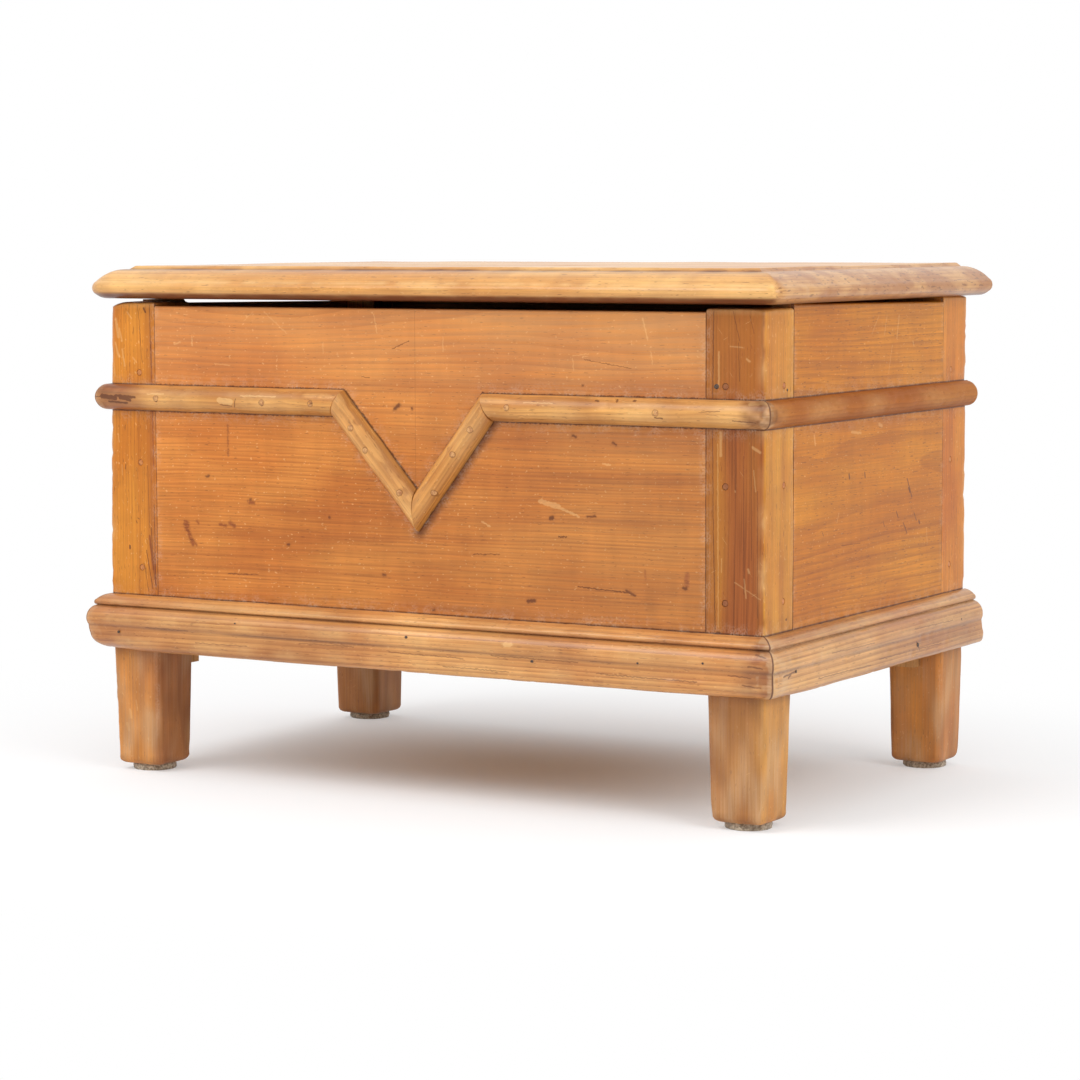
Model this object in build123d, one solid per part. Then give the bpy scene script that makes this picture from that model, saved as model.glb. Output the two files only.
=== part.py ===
from build123d import *
import math
import os

# Pine sugar chest. Millimetres, +X along the front, the front faces -Y, +Z up.
# The origin is on the floor, at the centre of the whole outline in plan.

# Case
body_width = 711.0
body_depth = 440.0
body_height = 340.0  # underside of the base moulding to the underside of the lid
post_size = 57.0
post_arris = 4.0
post_top_bevel = 2.5
front_post_gap = 3.5  # front post tops to the lid
panel_thickness = 22.0
panel_top_round = 2.0
panel_rise = 4.0  # panels start this far above the underside of the moulding
front_panel_gap = 7.0
left_panel_gap = 6.0
right_panel_gap_front = 0.4
right_panel_gap_back = 5.0

# Mortise and tenon joints between the panels and the posts
tenon_length = 30.0
tenon_thickness = 8.0
tenon_setback = 7.0
tenon_top_shoulder = 32.0  # below the lid
tenon_bottom_shoulder = 12.0  # above the bottom edge of the panel
tenon_fit = 0.2
peg_radius = 3.0  # to the corners
peg_sides = 8
peg_length = 24.0
peg_inset = 38.0  # outer corner of the post to the peg's axis
peg_fit = 0.05
peg_heights = (80.0, 182.0, 269.0)  # above the underside of the moulding

# Legs and felt pads
pad_thickness = 6.5
pad_radius = 21.5
pad_bevel = 1.2
leg_length = 114.5
foot_size = 52.0
foot_bevel = 3.5
leg_arris = 6.0

# Floor of the case
ledger_size = 20.0
board_thickness = 18.0
board_count = 3
board_fit = 0.3
block_width = 30.0
block_depth = 14.0
block_height = 23.0

# Divider
divider_x = 92.0
divider_thickness = 14.0
divider_height = 226.0
divider_housing = 6.0
divider_fit = 0.2

# Base moulding
base_height = 53.0
base_thickness = 21.0
base_corner_round = 7.0
base_foot_round = 7.0
base_roll_height = 14.5
base_roll_set = 1.4  # back from the face of the moulding
base_roll_bulge = 0.35
base_band_height = 23.2
base_band_set = 1.7
base_torus_bulge = 4.4
base_quirk_drop = 11.3  # from the top of the moulding
base_quirk_set = 9.5  # back from the face of the moulding
base_quirk_depth = 2.2
base_quirk_width = 1.6
base_nose_height = 5.0
base_crown_set = 0.9
base_crown_bulge = 1.1

# Half-round bead and its vee
bead_radius = 12.5
bead_centre = 245.0  # above the underside of the base moulding
vee_reach_left = 91.0
vee_reach_right = 83.0
vee_tip_x = 2.0
vee_drop = 104.0

# Lid
lid_thickness = 31.5
lid_side_overhang = 20.5
lid_front_overhang = 14.0
lid_back_overhang = 14.0
lid_edge_width = 38.0
lid_corner_round = 12.0
lid_back_round = 2.0
lid_under_width = 15.0
lid_under_bulge = 1.0
lid_chin_height = 4.0
lid_brow_height = 16.4
lid_nose_bulge = 3.8
lid_thumb_bulge = 3.2
lid_step_width = 4.6
lid_step_depth = 3.4

# Butt hinges
hinge_inset = 150.5  # end of the case to the middle of a hinge
hinge_length = 64.0
hinge_knuckles = 3
leaf_reach = 21.0  # pin to the free edge of a leaf
leaf_thickness = 1.6
leaf_gap = 0.2
knuckle_radius = 3.2
knuckle_end_gap = 0.2
knuckle_relief = 0.5
pin_radius = 1.6
pin_fit = 0.05
pin_end = 1.2
screw_head_radius = 3.2
screw_shank_radius = 1.6
screw_length = 15.0
screw_spacing = 42.0
screw_inset = 7.0  # free edge of a leaf to the screw's axis
screw_fit = 0.05

# Levels
foot_z = pad_thickness
base_z = foot_z + leg_length
panel_z = base_z + panel_rise
floor_z = panel_z + ledger_size + board_thickness
rim_z = base_z + body_height
tenon_low = panel_z + tenon_bottom_shoulder
tenon_high = rim_z - tenon_top_shoulder
bead_z = base_z + bead_centre
pin_z = rim_z - leaf_thickness - leaf_gap / 2
case_screw_z = pin_z - leaf_gap / 2
lid_screw_z = pin_z + leaf_gap / 2
back_panel_gap = 2 * leaf_thickness + leaf_gap

# Places in plan
half_width = body_width / 2
hinge_x = half_width - hinge_inset
pin_offset = knuckle_radius + leaf_gap
front_reach = max(base_thickness, lid_front_overhang, bead_radius)
back_reach = max(lid_back_overhang, pin_offset + knuckle_radius)
case_front = front_reach - (front_reach + body_depth + back_reach) / 2
case_back = case_front + body_depth
pin_y = case_back + pin_offset
far = 2 * (body_width + body_depth)

ROUND_ANGLES = (22.5, 45.0, 67.5)
ROUND_SAGITTA = 1 - math.sqrt(0.5)  # of a quarter circle, per unit of radius


def box(x0, x1, y0, y1, z0, z1):
    """A box between two corners."""
    centre = Pos((x0 + x1) / 2, (y0 + y1) / 2, (z0 + z1) / 2)
    return centre * Box(abs(x1 - x0), abs(y1 - y0), abs(z1 - z0))


def prism(points, direction, depth, plane):
    """A polygon drawn on a plane and extruded both ways."""
    face = plane * make_face(Polyline(*points, close=True))
    return extrude(face, amount=depth, dir=direction, both=True)


def rod_x(radius, x0, x1, y, z):
    return Pos((x0 + x1) / 2, y, z) * Rot(0, 90, 0) * Cylinder(radius, abs(x1 - x0))


def rod_y(radius, y0, y1, x, z):
    return Pos(x, (y0 + y1) / 2, z) * Rot(90, 0, 0) * Cylinder(radius, abs(y1 - y0))


def rod_z(radius, z0, z1, x, y):
    return Pos(x, y, (z0 + z1) / 2) * Cylinder(radius, abs(z1 - z0))


def at_corner(shape, side, row):
    """Moves a shape from a corner at the origin, as at the front right, to a corner of the case."""
    if side < 0 and row > 0:
        shape = Rot(0, 0, 180) * shape
    elif side < 0:
        shape = mirror(shape, about=Plane.YZ)
    elif row > 0:
        shape = mirror(shape, about=Plane.XZ)
    return Pos(side * half_width, case_back if row > 0 else case_front, 0) * shape


def at_wall(shape, wall):
    """Moves a panel, drawn along +X with its face on y = 0, to a wall of the case."""
    inner = half_width - post_size
    places = {
        "front": Pos(-inner, case_front, 0),
        "right": Pos(half_width, case_front + post_size, 0) * Rot(0, 0, 90),
        "back": Pos(inner, case_back, 0) * Rot(0, 0, 180),
        "left": Pos(-half_width, case_back - post_size, 0) * Rot(0, 0, -90),
    }
    return places[wall] * shape


def peg_levels():
    return [base_z + height for height in peg_heights]


def peg_y(extra, y0, y1, x, z):
    """A whittled peg, or with some extra its hole, along Y."""
    bar = extrude(RegularPolygon(peg_radius + extra, peg_sides), amount=abs(y1 - y0) / 2, both=True)
    return Pos(x, (y0 + y1) / 2, z) * Rot(90, 0, 0) * bar


def peg_x(extra, x0, x1, y, z):
    """The same, along X."""
    return Pos(0, y, z) * Rot(0, 0, 90) * peg_y(extra, -x0, -x1, 0, 0)


def post(top_gap):
    """A post with its tapered leg, two mortises and its peg holes, outer corner at the origin."""
    square = Pos(-post_size / 2, post_size / 2) * Rectangle(post_size, post_size)
    outer = square.vertices().sort_by_distance((0, 0, 0))[0]
    section = fillet(outer, post_arris)
    shaft = Pos(0, 0, base_z) * extrude(section, rim_z - top_gap - base_z)
    shaft = chamfer(shaft.faces().sort_by(Axis.Z)[-1].edges(), post_top_bevel)
    middle = Pos(-post_size / 2, post_size / 2)
    foot = Pos(0, 0, foot_z) * middle * RectangleRounded(foot_size, foot_size, leg_arris)
    knee = Pos(0, 0, base_z) * middle * RectangleRounded(post_size, post_size, leg_arris)
    leg = loft([foot, knee], ruled=True)
    leg = chamfer(leg.faces().sort_by(Axis.Z)[0].edges(), foot_bevel)
    body = shaft + leg
    inner = tenon_length + tenon_fit
    near = tenon_setback - tenon_fit
    away = tenon_setback + tenon_thickness + tenon_fit
    low = tenon_low - tenon_fit
    high = tenon_high + tenon_fit
    body -= box(-post_size, inner - post_size, near, away, low, high)
    body -= box(-away, -near, post_size - inner, post_size, low, high)
    for z in peg_levels():
        body -= peg_y(peg_fit, 0, peg_length, -peg_inset, z)
        body -= peg_x(peg_fit, -peg_length, 0, peg_inset, z)
    return body


def panel(length, gap_start, gap_end):
    """A board with a tenon at each end, drilled for its pegs."""
    outline = [
        (0, panel_z),
        (length, panel_z),
        (length, rim_z - gap_end),
        (0, rim_z - gap_start),
    ]
    board = extrude(Plane.XZ * make_face(Polyline(*outline, close=True)), -panel_thickness)
    tops = board.faces().filter_by(lambda f: f.normal_at().Z > 0.9).edges()
    long_tops = [edge for edge in tops if edge.length > length / 2]
    board = fillet(long_tops, panel_top_round)
    back = tenon_setback + tenon_thickness
    board += box(-tenon_length, length + tenon_length, tenon_setback, back, tenon_low, tenon_high)
    drill = post_size - peg_inset
    for z in peg_levels():
        for x in (-drill, length + drill):
            board -= peg_y(peg_fit, 0, panel_thickness, x, z)
    return board


def divider_slot(from_start):
    """The stopped housing that holds an end of the divider, in a panel's own place."""
    half = divider_thickness / 2 + divider_fit
    start = panel_thickness - divider_housing - divider_fit
    top = floor_z + divider_height + divider_fit
    return box(from_start - half, from_start + half, start, panel_thickness, floor_z, top)


def front_and_back_panels():
    length = body_width - 2 * post_size
    from_left = half_width - post_size + divider_x
    front = panel(length, front_panel_gap, front_panel_gap) - divider_slot(from_left)
    back = panel(length, back_panel_gap, back_panel_gap) - divider_slot(length - from_left)
    back = at_wall(back, "back")
    for x, y in screw_places():
        back -= rod_z(screw_shank_radius + screw_fit, case_screw_z - screw_length, rim_z, x, y)
    return at_wall(front, "front"), back


def side_panel(wall, gap_start, gap_end):
    return at_wall(panel(body_depth - 2 * post_size, gap_start, gap_end), wall)


def joint_pegs():
    """Whittled oak pegs that pin the tenons, flush with the faces of the posts."""
    pegs = []
    for side in (-1, 1):
        for row in (-1, 1):
            for z in peg_levels():
                pegs.append(at_corner(peg_y(0, 0, peg_length, -peg_inset, z), side, row))
                pegs.append(at_corner(peg_x(0, -peg_length, 0, peg_inset, z), side, row))
    return Compound(children=pegs)


def ledger(wall):
    """A strip inside the foot of a panel that carries the floor."""
    span = body_width if wall in ("front", "back") else body_depth
    length = span - 2 * post_size
    edge = panel_thickness + ledger_size
    return at_wall(box(0, length, panel_thickness, edge, panel_z, panel_z + ledger_size), wall)


def corner_block(side, row):
    """A glue block behind a leg, under the end of the side ledger."""
    x_near = -panel_thickness
    block = box(x_near - block_width, x_near, post_size, post_size + block_depth,
                panel_z - block_height, panel_z)
    return at_corner(block, side, row)


def floor_board(index):
    """A board of the floor, notched round the posts at the front and the back."""
    x1 = half_width - panel_thickness - board_fit
    y0 = case_front + panel_thickness + board_fit
    y1 = case_back - panel_thickness - board_fit
    width = (y1 - y0 - (board_count - 1) * board_fit) / board_count
    start = y0 + index * (width + board_fit)
    low = floor_z - board_thickness
    board = box(-x1, x1, start, start + width, low, floor_z)
    notch = post_size + board_fit
    for side in (-1, 1):
        for row in (-1, 1):
            board -= at_corner(box(-notch, 0, 0, notch, low, floor_z), side, row)
    return board


def divider():
    """A fixed partition, housed in the front and the back panel."""
    y0 = case_front + panel_thickness - divider_housing
    y1 = case_back - panel_thickness + divider_housing
    half = divider_thickness / 2
    board = box(divider_x - half, divider_x + half, y0, y1, floor_z, floor_z + divider_height)
    tops = board.faces().sort_by(Axis.Z)[-1].edges().filter_by(Axis.Y)
    return fillet(tops, divider_thickness / 4)


def band_outline(edge, inner):
    """A wire round a moulded edge: the edge's own lines, closed by a straight back."""
    low = edge[0] @ 0
    high = edge[-1] @ 1
    back = Polyline((high.X, high.Y), (inner, high.Y), (inner, low.Y), (low.X, low.Y))
    return make_face(edge + [back])


def base_edge():
    """Outer line of the base moulding, from its foot to its top, as (out, up)."""
    out = base_thickness
    high = base_height
    foot_top = (out, base_foot_round)
    roll_top = (out - base_roll_set, base_roll_height)
    band_top = (out - base_band_set, base_band_height)
    lip = (out - base_quirk_set, high - base_quirk_drop)
    root = (lip[0] - base_quirk_depth, lip[1] + base_quirk_width / 2)
    nose_low = (lip[0], lip[1] + base_quirk_width)
    nose_high = (lip[0] - base_crown_set, nose_low[1] + base_nose_height)
    foot = SagittaArc((out - base_foot_round, 0), foot_top, -base_foot_round * ROUND_SAGITTA)
    roll = SagittaArc(foot_top, roll_top, -base_roll_bulge)
    band = Line(roll_top, band_top)
    torus = SagittaArc(band_top, lip, -base_torus_bulge)
    quirk = Polyline(lip, root, nose_low)
    nose = SagittaArc(nose_low, nose_high, -base_nose_height / 4)
    crown = SagittaArc(nose_high, (0, high), -base_crown_bulge)
    return [foot, roll, band, torus, quirk, nose, crown]


def lid_edge():
    """Outer line of the lid's thumb moulding, from its underside to its flat field."""
    out = lid_edge_width
    high = lid_thickness
    chin = (out - lid_nose_bulge, lid_chin_height)
    brow = (out - lid_nose_bulge, lid_brow_height)
    step_foot = (lid_step_width, high - lid_step_depth)
    under = SagittaArc((out - lid_under_width, 0), chin, -lid_under_bulge)
    nose = SagittaArc(chin, brow, -lid_nose_bulge)
    thumb = SagittaArc(brow, step_foot, -lid_thumb_bulge)
    step = Line(step_foot, (0, high))
    return [under, nose, thumb, step]


def facing(edge, inner, angle, place):
    """An endless bar of a moulded edge. Angle 0 faces +X, -90 faces the front."""
    face = Plane.XZ * band_outline(edge, inner)
    bar = extrude(face, amount=far, both=True)
    return place * Rot(0, 0, angle) * bar


def corner_facings(edge, width, inner, side, nose_x, nose_y, radius, z):
    """Bars of the same edge turned between the front and a side, which round the corner off."""
    centre_x = side * (nose_x - radius)
    centre_y = nose_y + radius
    bars = []
    for turn in ROUND_ANGLES:
        angle = -90 + side * turn
        place = Pos(centre_x, centre_y, z) * Rot(0, 0, angle)
        bars.append(facing(edge, inner, 0, place * Pos(radius - width, 0, 0)))
    return bars


def front_sector(depth):
    """The wedge in front of the case, as far as the mitres at its two front corners."""
    points = [
        (-half_width, case_front),
        (half_width, case_front),
        (half_width + depth, case_front - depth),
        (-half_width - depth, case_front - depth),
    ]
    return prism(points, (0, 0, 1), far, Plane.XY)


def side_sector(side, depth):
    """The wedge beside the case, from its front mitre to the back of the case."""
    points = [
        (side * half_width, case_front),
        (side * half_width, case_back),
        (side * (half_width + depth), case_back),
        (side * (half_width + depth), case_front - depth),
    ]
    return prism(points, (0, 0, 1), far, Plane.XY)


def rounded_base_corner(shape, side):
    """Wears the front corner of the base moulding."""
    nose_x = half_width + base_thickness
    nose_y = case_front - base_thickness
    bars = corner_facings(base_edge(), base_thickness, -far, side, nose_x, nose_y,
                          base_corner_round, base_z)
    for bar in bars:
        shape = shape & bar
    return shape


def base_front():
    band = facing(base_edge(), -far, -90, Pos(0, case_front, base_z))
    band = band & front_sector(2 * base_thickness)
    return rounded_base_corner(rounded_base_corner(band, -1), 1)


def base_side(side):
    angle = 0 if side > 0 else 180
    band = facing(base_edge(), -far, angle, Pos(side * half_width, 0, base_z))
    band = band & side_sector(side, 2 * base_thickness)
    return rounded_base_corner(band, side)


def crossing(point_a, direction_a, point_b, direction_b):
    """Where two lines cross in the plane."""
    det = direction_a[0] * direction_b[1] - direction_a[1] * direction_b[0]
    gap = (point_b[0] - point_a[0], point_b[1] - point_a[1])
    t = (gap[0] * direction_b[1] - gap[1] * direction_b[0]) / det
    return (point_a[0] + t * direction_a[0], point_a[1] + t * direction_a[1])


def vee_corners(side):
    """Corners of one arm of the vee on the front face: outer, tip, inner apex and inner."""
    def arm(which):
        reach = vee_reach_left if which < 0 else vee_reach_right
        outer = (which * reach, bead_z - bead_radius)
        run = (vee_tip_x - outer[0], -vee_drop)
        size = math.hypot(*run)
        run = (run[0] / size, run[1] / size)
        inward = (which * run[1] * 2 * bead_radius, -which * run[0] * 2 * bead_radius)
        return outer, run, (outer[0] + inward[0], outer[1] + inward[1])

    outer, run, inner = arm(side)
    other_outer, other_run, other_inner = arm(-side)
    tip = crossing(outer, run, other_outer, other_run)
    apex = crossing(inner, run, other_inner, other_run)
    upper = crossing(inner, run, (0, bead_z + bead_radius), (1, 0))
    return outer, tip, apex, upper


def half_round(start, end):
    """A half-round bar on the front face between two (x, z) points, with a little to spare."""
    run = (Vector(end[0], 0, end[1]) - Vector(start[0], 0, start[1])).normalized()
    first = Vector(start[0], case_front, start[1]) - run * 4 * bead_radius
    last = Vector(end[0], case_front, end[1]) + run * 4 * bead_radius
    plane = Plane(origin=first, z_dir=run)
    bar = extrude(plane * Circle(bead_radius), amount=(last - first).length)
    return bar & box(-far, far, case_front - far, case_front, -far, far)


def on_face(bar, corners):
    """Cuts a bar to its mitred place on the front face."""
    points = [(x, z) for x, z in corners]
    face = Plane(origin=(0, case_front, 0), x_dir=(1, 0, 0), z_dir=(0, -1, 0))
    return bar & extrude(face * make_face(Polyline(*points, close=True)), 2 * bead_radius)


def bead_vee(side):
    outer, tip, apex, upper = vee_corners(side)
    start = ((outer[0] + upper[0]) / 2, (outer[1] + upper[1]) / 2)
    end = ((tip[0] + apex[0]) / 2, (tip[1] + apex[1]) / 2)
    return on_face(half_round(start, end), [outer, tip, apex, upper])


def bead_front(side):
    """The front bead from the vee to the corner of the case."""
    outer, tip, apex, upper = vee_corners(side)
    end = side * (half_width + 2 * bead_radius)
    low = bead_z - bead_radius
    high = bead_z + bead_radius
    bar = half_round((outer[0], bead_z), (end, bead_z))
    bar = on_face(bar, [outer, (end, low), (end, high), upper])
    return bar & front_sector(2 * bead_radius)


def bead_side(side):
    bar = rod_y(bead_radius, case_front - 2 * bead_radius, case_back, side * half_width, bead_z)
    return bar & side_sector(side, 2 * bead_radius)


def lid():
    """The lid: a thumb moulding on the front and both ends, and a square back."""
    nose_x = half_width + lid_side_overhang
    nose_y = case_front - lid_front_overhang
    back_y = case_back + lid_back_overhang
    field_x = nose_x - lid_edge_width
    field_y = nose_y + lid_edge_width
    edge = lid_edge()
    body = facing(edge, field_y - back_y, -90, Pos(0, field_y, rim_z))
    for side in (-1, 1):
        angle = 0 if side > 0 else 180
        body = body & facing(edge, -far, angle, Pos(side * field_x, 0, rim_z))
    for side in (-1, 1):
        for bar in corner_facings(edge, lid_edge_width, -far, side, nose_x, nose_y,
                                  lid_corner_round, rim_z):
            body = body & bar
    back = body.faces().sort_by(Axis.Y)[-1].edges().filter_by(Axis.X)
    body = fillet(back.sort_by(Axis.Z)[-1], lid_back_round)
    for side in (-1, 1):
        half = hinge_length / 2 + pin_end + knuckle_relief
        x = side * hinge_x
        body -= rod_x(knuckle_radius + knuckle_relief, x - half, x + half, pin_y, pin_z)
    for x, y in screw_places():
        body -= rod_z(screw_shank_radius + screw_fit, rim_z, lid_screw_z + screw_length, x, y)
    return body


def screw_places():
    """Where the hinge screws stand, the same on both leaves."""
    places = []
    for side in (-1, 1):
        for step in (-0.5, 0.5):
            y = pin_y - leaf_reach + screw_inset
            places.append((side * hinge_x + step * screw_spacing, y))
    return places


def screw(extra=0.0):
    """A countersunk screw, head up, its top at the origin."""
    head = Pos(0, 0, -leaf_thickness / 2) * Cone(
        screw_shank_radius + extra, screw_head_radius + extra, leaf_thickness)
    shank_length = screw_length - leaf_thickness
    shank = Cylinder(screw_shank_radius + extra, shank_length)
    return head + Pos(0, 0, -leaf_thickness - shank_length / 2) * shank


def case_screw_place(x, y):
    """The head lies in the case leaf and faces up."""
    return Pos(x, y, case_screw_z)


def lid_screw_place(x, y):
    """The head lies in the lid leaf and faces down."""
    return Pos(x, y, lid_screw_z) * Rot(180, 0, 0)


def knuckle_spans(first):
    """Every second knuckle of a hinge, as (start, end) from the middle of the hinge."""
    pitch = hinge_length / hinge_knuckles
    spans = []
    for index in range(first, hinge_knuckles, 2):
        start = index * pitch - hinge_length / 2
        spans.append((start + knuckle_end_gap / 2, start + pitch - knuckle_end_gap / 2))
    return spans


def hinge_leaf(side, upper):
    """A leaf with its knuckles. The upper leaf is under the lid, the lower on the back panel."""
    x = side * hinge_x
    half = hinge_length / 2
    z_in = pin_z + (leaf_gap / 2 if upper else -leaf_gap / 2)
    z_out = z_in + (leaf_thickness if upper else -leaf_thickness)
    root = pin_y - knuckle_radius - leaf_gap
    free = pin_y - leaf_reach
    low, high = sorted((z_in, z_out))
    leaf = box(x - half, x + half, free, root, low, high)
    for start, end in knuckle_spans(1 if upper else 0):
        leaf += box(x + start, x + end, root, pin_y, low, high)
        leaf += rod_x(knuckle_radius, x + start, x + end, pin_y, pin_z)
    leaf -= rod_x(pin_radius + pin_fit, x - half, x + half, pin_y, pin_z)
    place = lid_screw_place if upper else case_screw_place
    for screw_x, screw_y in screw_places():
        if screw_x * side > 0:
            leaf -= place(screw_x, screw_y) * screw(screw_fit)
    return leaf


def hinge_pin(side):
    half = hinge_length / 2 + pin_end
    x = side * hinge_x
    pin = rod_x(pin_radius, x - half, x + half, pin_y, pin_z)
    ends = pin.faces().filter_by(Axis.X).edges()
    return chamfer(ends, pin_radius / 3)


def hinge_screws(place):
    return Compound(children=[place(x, y) * screw() for x, y in screw_places()])


def felt_pad(side, row):
    """A stick-on felt disc under a foot."""
    pad = Pos(-post_size / 2, post_size / 2, pad_thickness / 2) * Cylinder(pad_radius, pad_thickness)
    pad = chamfer(pad.edges(), pad_bevel)
    return at_corner(pad, side, row)


CORNERS = {
    "front_left": (-1, -1),
    "front_right": (1, -1),
    "back_left": (-1, 1),
    "back_right": (1, 1),
}


def build():
    """Every piece of the chest by its name."""
    parts = {}
    for name, (side, row) in CORNERS.items():
        gap = front_post_gap if row < 0 else 0.0
        parts["post_" + name] = at_corner(post(gap), side, row)
        parts["corner_block_" + name] = corner_block(side, row)
        parts["felt_pad_" + name] = felt_pad(side, row)
    parts["panel_front"], parts["panel_back"] = front_and_back_panels()
    parts["panel_left"] = side_panel("left", left_panel_gap, left_panel_gap)
    parts["panel_right"] = side_panel("right", right_panel_gap_front, right_panel_gap_back)
    parts["joint_pegs"] = joint_pegs()
    for wall in ("front", "back", "left", "right"):
        parts["ledger_" + wall] = ledger(wall)
    for index in range(board_count):
        parts["floor_board_" + str(index + 1)] = floor_board(index)
    parts["divider"] = divider()
    parts["base_moulding_front"] = base_front()
    parts["base_moulding_left"] = base_side(-1)
    parts["base_moulding_right"] = base_side(1)
    for name, side in (("left", -1), ("right", 1)):
        parts["bead_front_" + name] = bead_front(side)
        parts["bead_vee_" + name] = bead_vee(side)
        parts["bead_side_" + name] = bead_side(side)
        parts["hinge_" + name + "_case_leaf"] = hinge_leaf(side, False)
        parts["hinge_" + name + "_lid_leaf"] = hinge_leaf(side, True)
        parts["hinge_" + name + "_pin"] = hinge_pin(side)
    parts["case_hinge_screws"] = hinge_screws(case_screw_place)
    parts["lid_hinge_screws"] = hinge_screws(lid_screw_place)
    parts["lid"] = lid()
    return parts


if __name__ == "__main__":
    os.makedirs("parts", exist_ok=True)
    for node, shape in build().items():
        export_step(shape, "parts/" + node + ".step")
        print(node, len(shape.solids()), round(shape.volume / 1000, 1), "cm3")
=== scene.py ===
import math
from functools import reduce

import bmesh
import bpy
import numpy as np
from mathutils import Matrix, Vector


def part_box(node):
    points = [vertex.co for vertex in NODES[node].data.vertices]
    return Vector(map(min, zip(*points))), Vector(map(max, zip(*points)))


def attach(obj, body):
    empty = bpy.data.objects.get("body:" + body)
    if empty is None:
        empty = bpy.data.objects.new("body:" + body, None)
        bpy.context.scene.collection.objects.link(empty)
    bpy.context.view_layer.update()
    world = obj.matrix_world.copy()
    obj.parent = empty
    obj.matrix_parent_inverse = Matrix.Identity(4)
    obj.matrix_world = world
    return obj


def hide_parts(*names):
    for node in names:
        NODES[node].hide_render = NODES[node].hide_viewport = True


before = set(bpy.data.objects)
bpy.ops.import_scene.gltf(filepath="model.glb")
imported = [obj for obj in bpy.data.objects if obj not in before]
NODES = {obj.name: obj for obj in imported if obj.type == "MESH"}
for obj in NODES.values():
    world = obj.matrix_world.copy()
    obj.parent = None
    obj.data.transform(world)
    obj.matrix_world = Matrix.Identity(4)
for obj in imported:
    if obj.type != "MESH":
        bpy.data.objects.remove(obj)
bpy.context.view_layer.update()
CASE = "case"
LID = "lid_assembly"
SIDES = {"left": -1, "right": 1}
ROWS = {"front": -1, "back": 1}

# ---------------------------------------------------------------- sizes, in metres

MM = 0.001

post_low, post_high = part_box("post_front_right")
panel_low, panel_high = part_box("panel_front")
lid_low, lid_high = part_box("lid")
base_low, base_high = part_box("base_moulding_front")
bead_low, bead_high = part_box("bead_front_right")
leaf_low, leaf_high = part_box("hinge_right_lid_leaf")
pin_low, pin_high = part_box("hinge_right_pin")

half_width = post_high.x
case_front = post_low.y
case_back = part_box("post_back_right")[1].y
case_edge = {-1: case_front, 1: case_back}
post_size = post_high.x - post_low.x
foot_z = post_low.z
rim_z = lid_low.z
lid_top = lid_high.z
base_z = base_low.z
base_top = base_high.z
bead_radius = (bead_high.z - bead_low.z) / 2
bead_z = (bead_high.z + bead_low.z) / 2
joint_x = half_width - post_size
joint_front = case_front + post_size
joint_back = case_back - post_size
base_thickness = case_front - base_low.y
lid_thickness = lid_top - rim_z

# Posts, legs and pegs
foot_size = 52 * MM
foot_bevel = 5 * MM
leg_arris = 6 * MM
post_arris = 2.5 * MM
joint_arris = 0.5 * MM
post_top_round = 2.5 * MM
peg_radius = 3 * MM
peg_length = 24 * MM
peg_inset = 38 * MM
peg_heights = (80 * MM, 182 * MM, 269 * MM)
tenon_length = 30.2 * MM
tenon_near = 6.8 * MM
tenon_far = 15.2 * MM
tenon_low = panel_low.z + 11.8 * MM
tenon_high = rim_z - 31.8 * MM

# Left panel's top edge: how far it stands below the lid, and where it is split
left_gap_front = 2 * MM
left_gap_middle = 6 * MM
left_gap_back = 10 * MM
left_split_y = -118 * MM

# Vee
vee_reach = {-1: 91 * MM, 1: 83 * MM}
vee_tip_x = 2 * MM
vee_drop = 104 * MM

# Base moulding, as (out, up)
base_foot_round = 7 * MM
base_roll_top = (19.6 * MM, 14.5 * MM)
base_roll_bulge = 0.35 * MM
base_band_top = (19.3 * MM, 23.2 * MM)
base_crease = 0.8 * MM
base_torus_bulge = 4.4 * MM
base_lip = (11.5 * MM, 41.7 * MM)
base_quirk_depth = 1.5 * MM
base_quirk_width = 1.1 * MM
base_nose_height = 5 * MM
base_crown_set = 0.9 * MM
base_crown_bulge = 1.1 * MM

# Lid's thumb moulding, as (out from the field, up from the underside)
lid_edge_width = 38 * MM
lid_back_round = 2 * MM
lid_under_width = 15 * MM
lid_under_bulge = 1.0 * MM
lid_chin_height = 4 * MM
lid_brow_height = 16.4 * MM
lid_nose_bulge = 3.8 * MM
lid_thumb_bulge = 3.2 * MM
lid_step_width = 4.6 * MM
lid_step_depth = 3.4 * MM
field_x = lid_high.x - lid_edge_width
field_y = lid_low.y + lid_edge_width

# How far the front corners are worn round in plan, left and right
lid_worn = {-1: 26 * MM, 1: 14 * MM}
base_worn = {-1: 9 * MM, 1: 8 * MM}
bead_worn = {-1: 11 * MM, 1: 3 * MM}
base_underworn = {-1: 1.0, 1: 0.3}
post_top_worn = {-1: 11 * MM, 1: 1.5 * MM}

# Hinges
knuckle_relief = 3.7 * MM
screw_length = 15 * MM
screw_spacing = 42 * MM
screw_head_radius = 3.2 * MM
screw_shank_radius = 1.6 * MM
slot_length = 8 * MM
slot_width = 0.8 * MM
slot_depth = 0.7 * MM
screw_y = leaf_low.y + 7 * MM
leaf_thickness = 1.6 * MM
hinge_x = (leaf_low.x + leaf_high.x) / 2
pin_y = (pin_low.y + pin_high.y) / 2
pin_z = (pin_low.z + pin_high.z) / 2

# Ends of moulded lengths: a hairline at the mitre, and the first ring beside it, which is eased back
mitre_gap = 0.1 * MM
mitre_ease = 0.6 * MM
mitre_round = 0.5 * MM

# Plugs over the bead's nails, and the dark rim round each
plug_radius = 2.6 * MM
plug_lift = 0.3 * MM
plug_rim = 2.7 * MM

# Bulge of a quarter circle, as a share of its radius
ROUND_SAGITTA = 1 - math.sqrt(0.5)


# ---------------------------------------------------------------- shader arithmetic

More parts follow.
